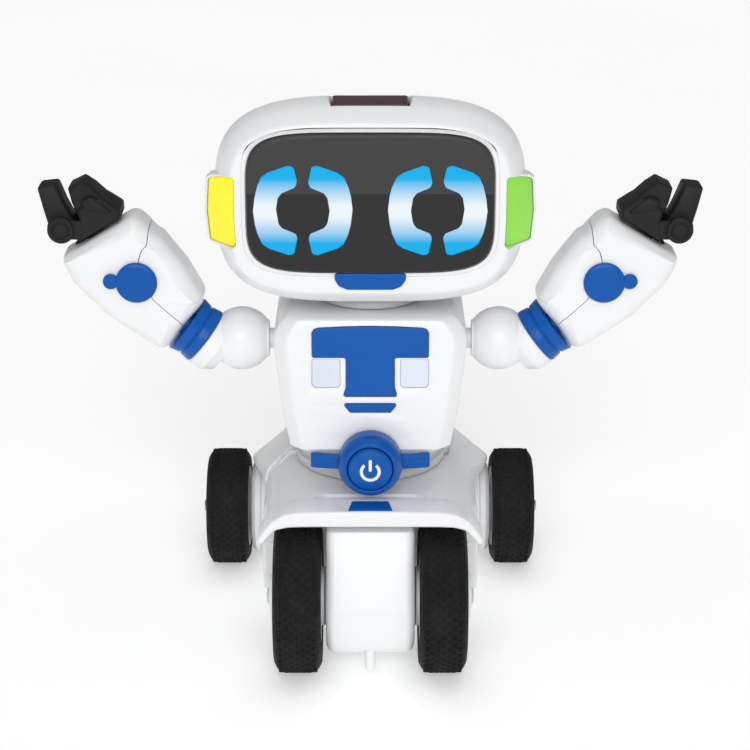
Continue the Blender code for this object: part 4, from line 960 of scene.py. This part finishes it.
for side_name, side in SIDES:
    centre = (side * SHOULDER[0], ARM_Y, SHOULDER[1])
    elbow = (side * ELBOW[0], ARM_Y, ELBOW[1])
    elbow_axis = (side * ELBOW_AXIS[0], 0.0, ELBOW_AXIS[1])
    wrist = (side * WRIST[0], ARM_Y, WRIST[1])
    wrist_axis = (side * WRIST_AXIS[0], 0.0, WRIST_AXIS[1])
    pivot = (side * PIVOT[0], ARM_Y, PIVOT[1])

    upper, lower, tip = f"upper_arm_{side_name}", f"forearm_{side_name}", f"finger_{side_name}"
    show(shoulder(side_name, side, centre, elbow, elbow_axis), upper, "white_plastic", f"shoulder_ball_{side_name}")
    show(lathe(f"elbow_spool_{side_name}", ((0.0, -17.0), (5.0, -17.0), (5.0, -9.0), (11.7, -9.0), (11.1, -5.2),
                                            (10.5, -4.9), (10.5, -4.4), (11.1, -4.1), (11.9, -0.3), (5.0, -0.3),
                                            (5.0, 8.0), (0.0, 8.4)), elbow, elbow_axis, BLUE, corner=0.25),
         upper, "blue_plastic", f"upper_arm_{side_name}")
    main, lid = forearm(side_name, side, elbow, elbow_axis, wrist, wrist_axis)
    show(main, lower, "white_plastic", f"forearm_shell_{side_name}")
    show(lid, lower, "white_plastic", f"forearm_cover_{side_name}")
    cap = lathe(f"forearm_button_{side_name}", ((0.0, -15.2), (6.6, -15.1), (7.6, -14.8), (8.0, -14.2), (8.0, -13.2),
                                                (4.0, -13.2), (4.0, -8.0), (0.0, -8.0)),
                (side * 90.0, ARM_Y, 149.1), BACKWARD, BLUE, corner=0.3)
    combine(cap, [lathe("lobe", ((0.0, -14.9), (2.3, -14.8), (3.0, -14.4), (3.0, -13.2), (0.0, -13.2)),
                        (side * 99.8, ARM_Y, 149.6), BACKWARD, BLUE, corner=0.25, steps=48)], "UNION")
    show(cap, lower, "blue_plastic", f"forearm_cap_{side_name}")
    palm, finger = hand(side_name, side, wrist, wrist_axis, pivot)
    show(palm, lower, "black_plastic", f"palm_{side_name}")
    show(finger, tip, "black_plastic", f"finger_{side_name}")


# ---------------------------------------------------------------- carried-over parts

INNER_LOOKS = {"drive_motor_left": STEEL, "drive_motor_right": STEEL, "rear_axle": STEEL, "main_board": BOARD,
               "eye_board": BOARD, "battery_box": BLACK, "speaker": BLACK, "power_switch": BLACK,
               "battery_cell_1": CELL, "battery_cell_2": CELL, "battery_cell_3": CELL, "battery_cell_4": CELL}
for name, look in INNER_LOOKS.items():
    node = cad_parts[name]
    node.data.materials.clear()
    node.data.materials.append(look)


# ---------------------------------------------------------------- studio

def studio_floor():
    finish = Finish("studio_floor")
    tints = ((0.3, linear((0.97, 0.97, 0.97))), (0.7, linear((0.98, 0.98, 0.98))))
    finish.feed("Base Color", finish.ramp(finish.noise(3.0), tints))
    finish.set(Roughness=0.9, Specular_IOR_Level=0.1, Emission_Color=(1.0, 1.0, 1.0, 1.0), Emission_Strength=0.34)
    form = bmesh.new()
    bmesh.ops.create_grid(form, x_segments=2, y_segments=2, size=6000.0)
    floor = piece_from("studio_floor", form, finish.made)


def area_light(name, place, target, size, power):
    data = bpy.data.lights.new(name, "AREA")
    data.shape = "RECTANGLE"
    data.size, data.size_y = size
    data.energy = power
    made = bpy.data.objects.new(name, data)
    made.location = place
    made.rotation_euler = (Vector(target) - Vector(place)).to_track_quat("-Z", "Y").to_euler()
    bpy.context.scene.collection.objects.link(made)


def camera():
    """A long lens in front of the robot, looking 20 degrees down."""
    distance, down, aim = 0.850, math.radians(20.0), Vector((0.0, 0.0, 0.1045))
    data = bpy.data.cameras.new("camera")
    data.sensor_width = 36.0
    data.lens = 2125.0 / 750.0 * 36.0
    data.shift_x = 0.0063
    made = bpy.data.objects.new("camera", data)
    made.location = aim + Vector((0.0, -distance * math.cos(down), distance * math.sin(down)))
    made.rotation_euler = (aim - made.location).to_track_quat("-Z", "Y").to_euler()
    bpy.context.scene.collection.objects.link(made)
    bpy.context.scene.camera = made


def sun_light(name, elevation, strength, spread):
    """A wide soft sun in front of the robot, this many degrees above the horizon."""
    data = bpy.data.lights.new(name, "SUN")
    data.energy = strength
    data.angle = math.radians(spread)
    made = bpy.data.objects.new(name, data)
    made.rotation_euler = (math.radians(90.0 - elevation), 0.0, 0.0)
    bpy.context.scene.collection.objects.link(made)


studio_floor()
middle = (0.0, 0.0, 0.12)
sun_light("front_light", 24.0, 1.45, 40.0)
sun_light("overhead_light", 80.0, 0.75, 60.0)
area_light("front_softbox", (0.0, -1.3, 0.75), middle, (1.2, 0.5), 0.6)
area_light("left_softbox", (-1.3, -0.3, 0.6), middle, (0.5, 0.9), 0.5)
area_light("right_softbox", (1.3, -0.3, 0.6), middle, (0.5, 0.9), 0.5)
world = bpy.data.worlds.new("studio")
world.use_nodes = True
world.node_tree.nodes["Background"].inputs["Color"].default_value = (1.0, 1.0, 1.0, 1.0)
world.node_tree.nodes["Background"].inputs["Strength"].default_value = 0.22
bpy.context.scene.world = world
bpy.context.scene.view_settings.view_transform = "Standard"
camera()

bpy.context.view_layer.update()
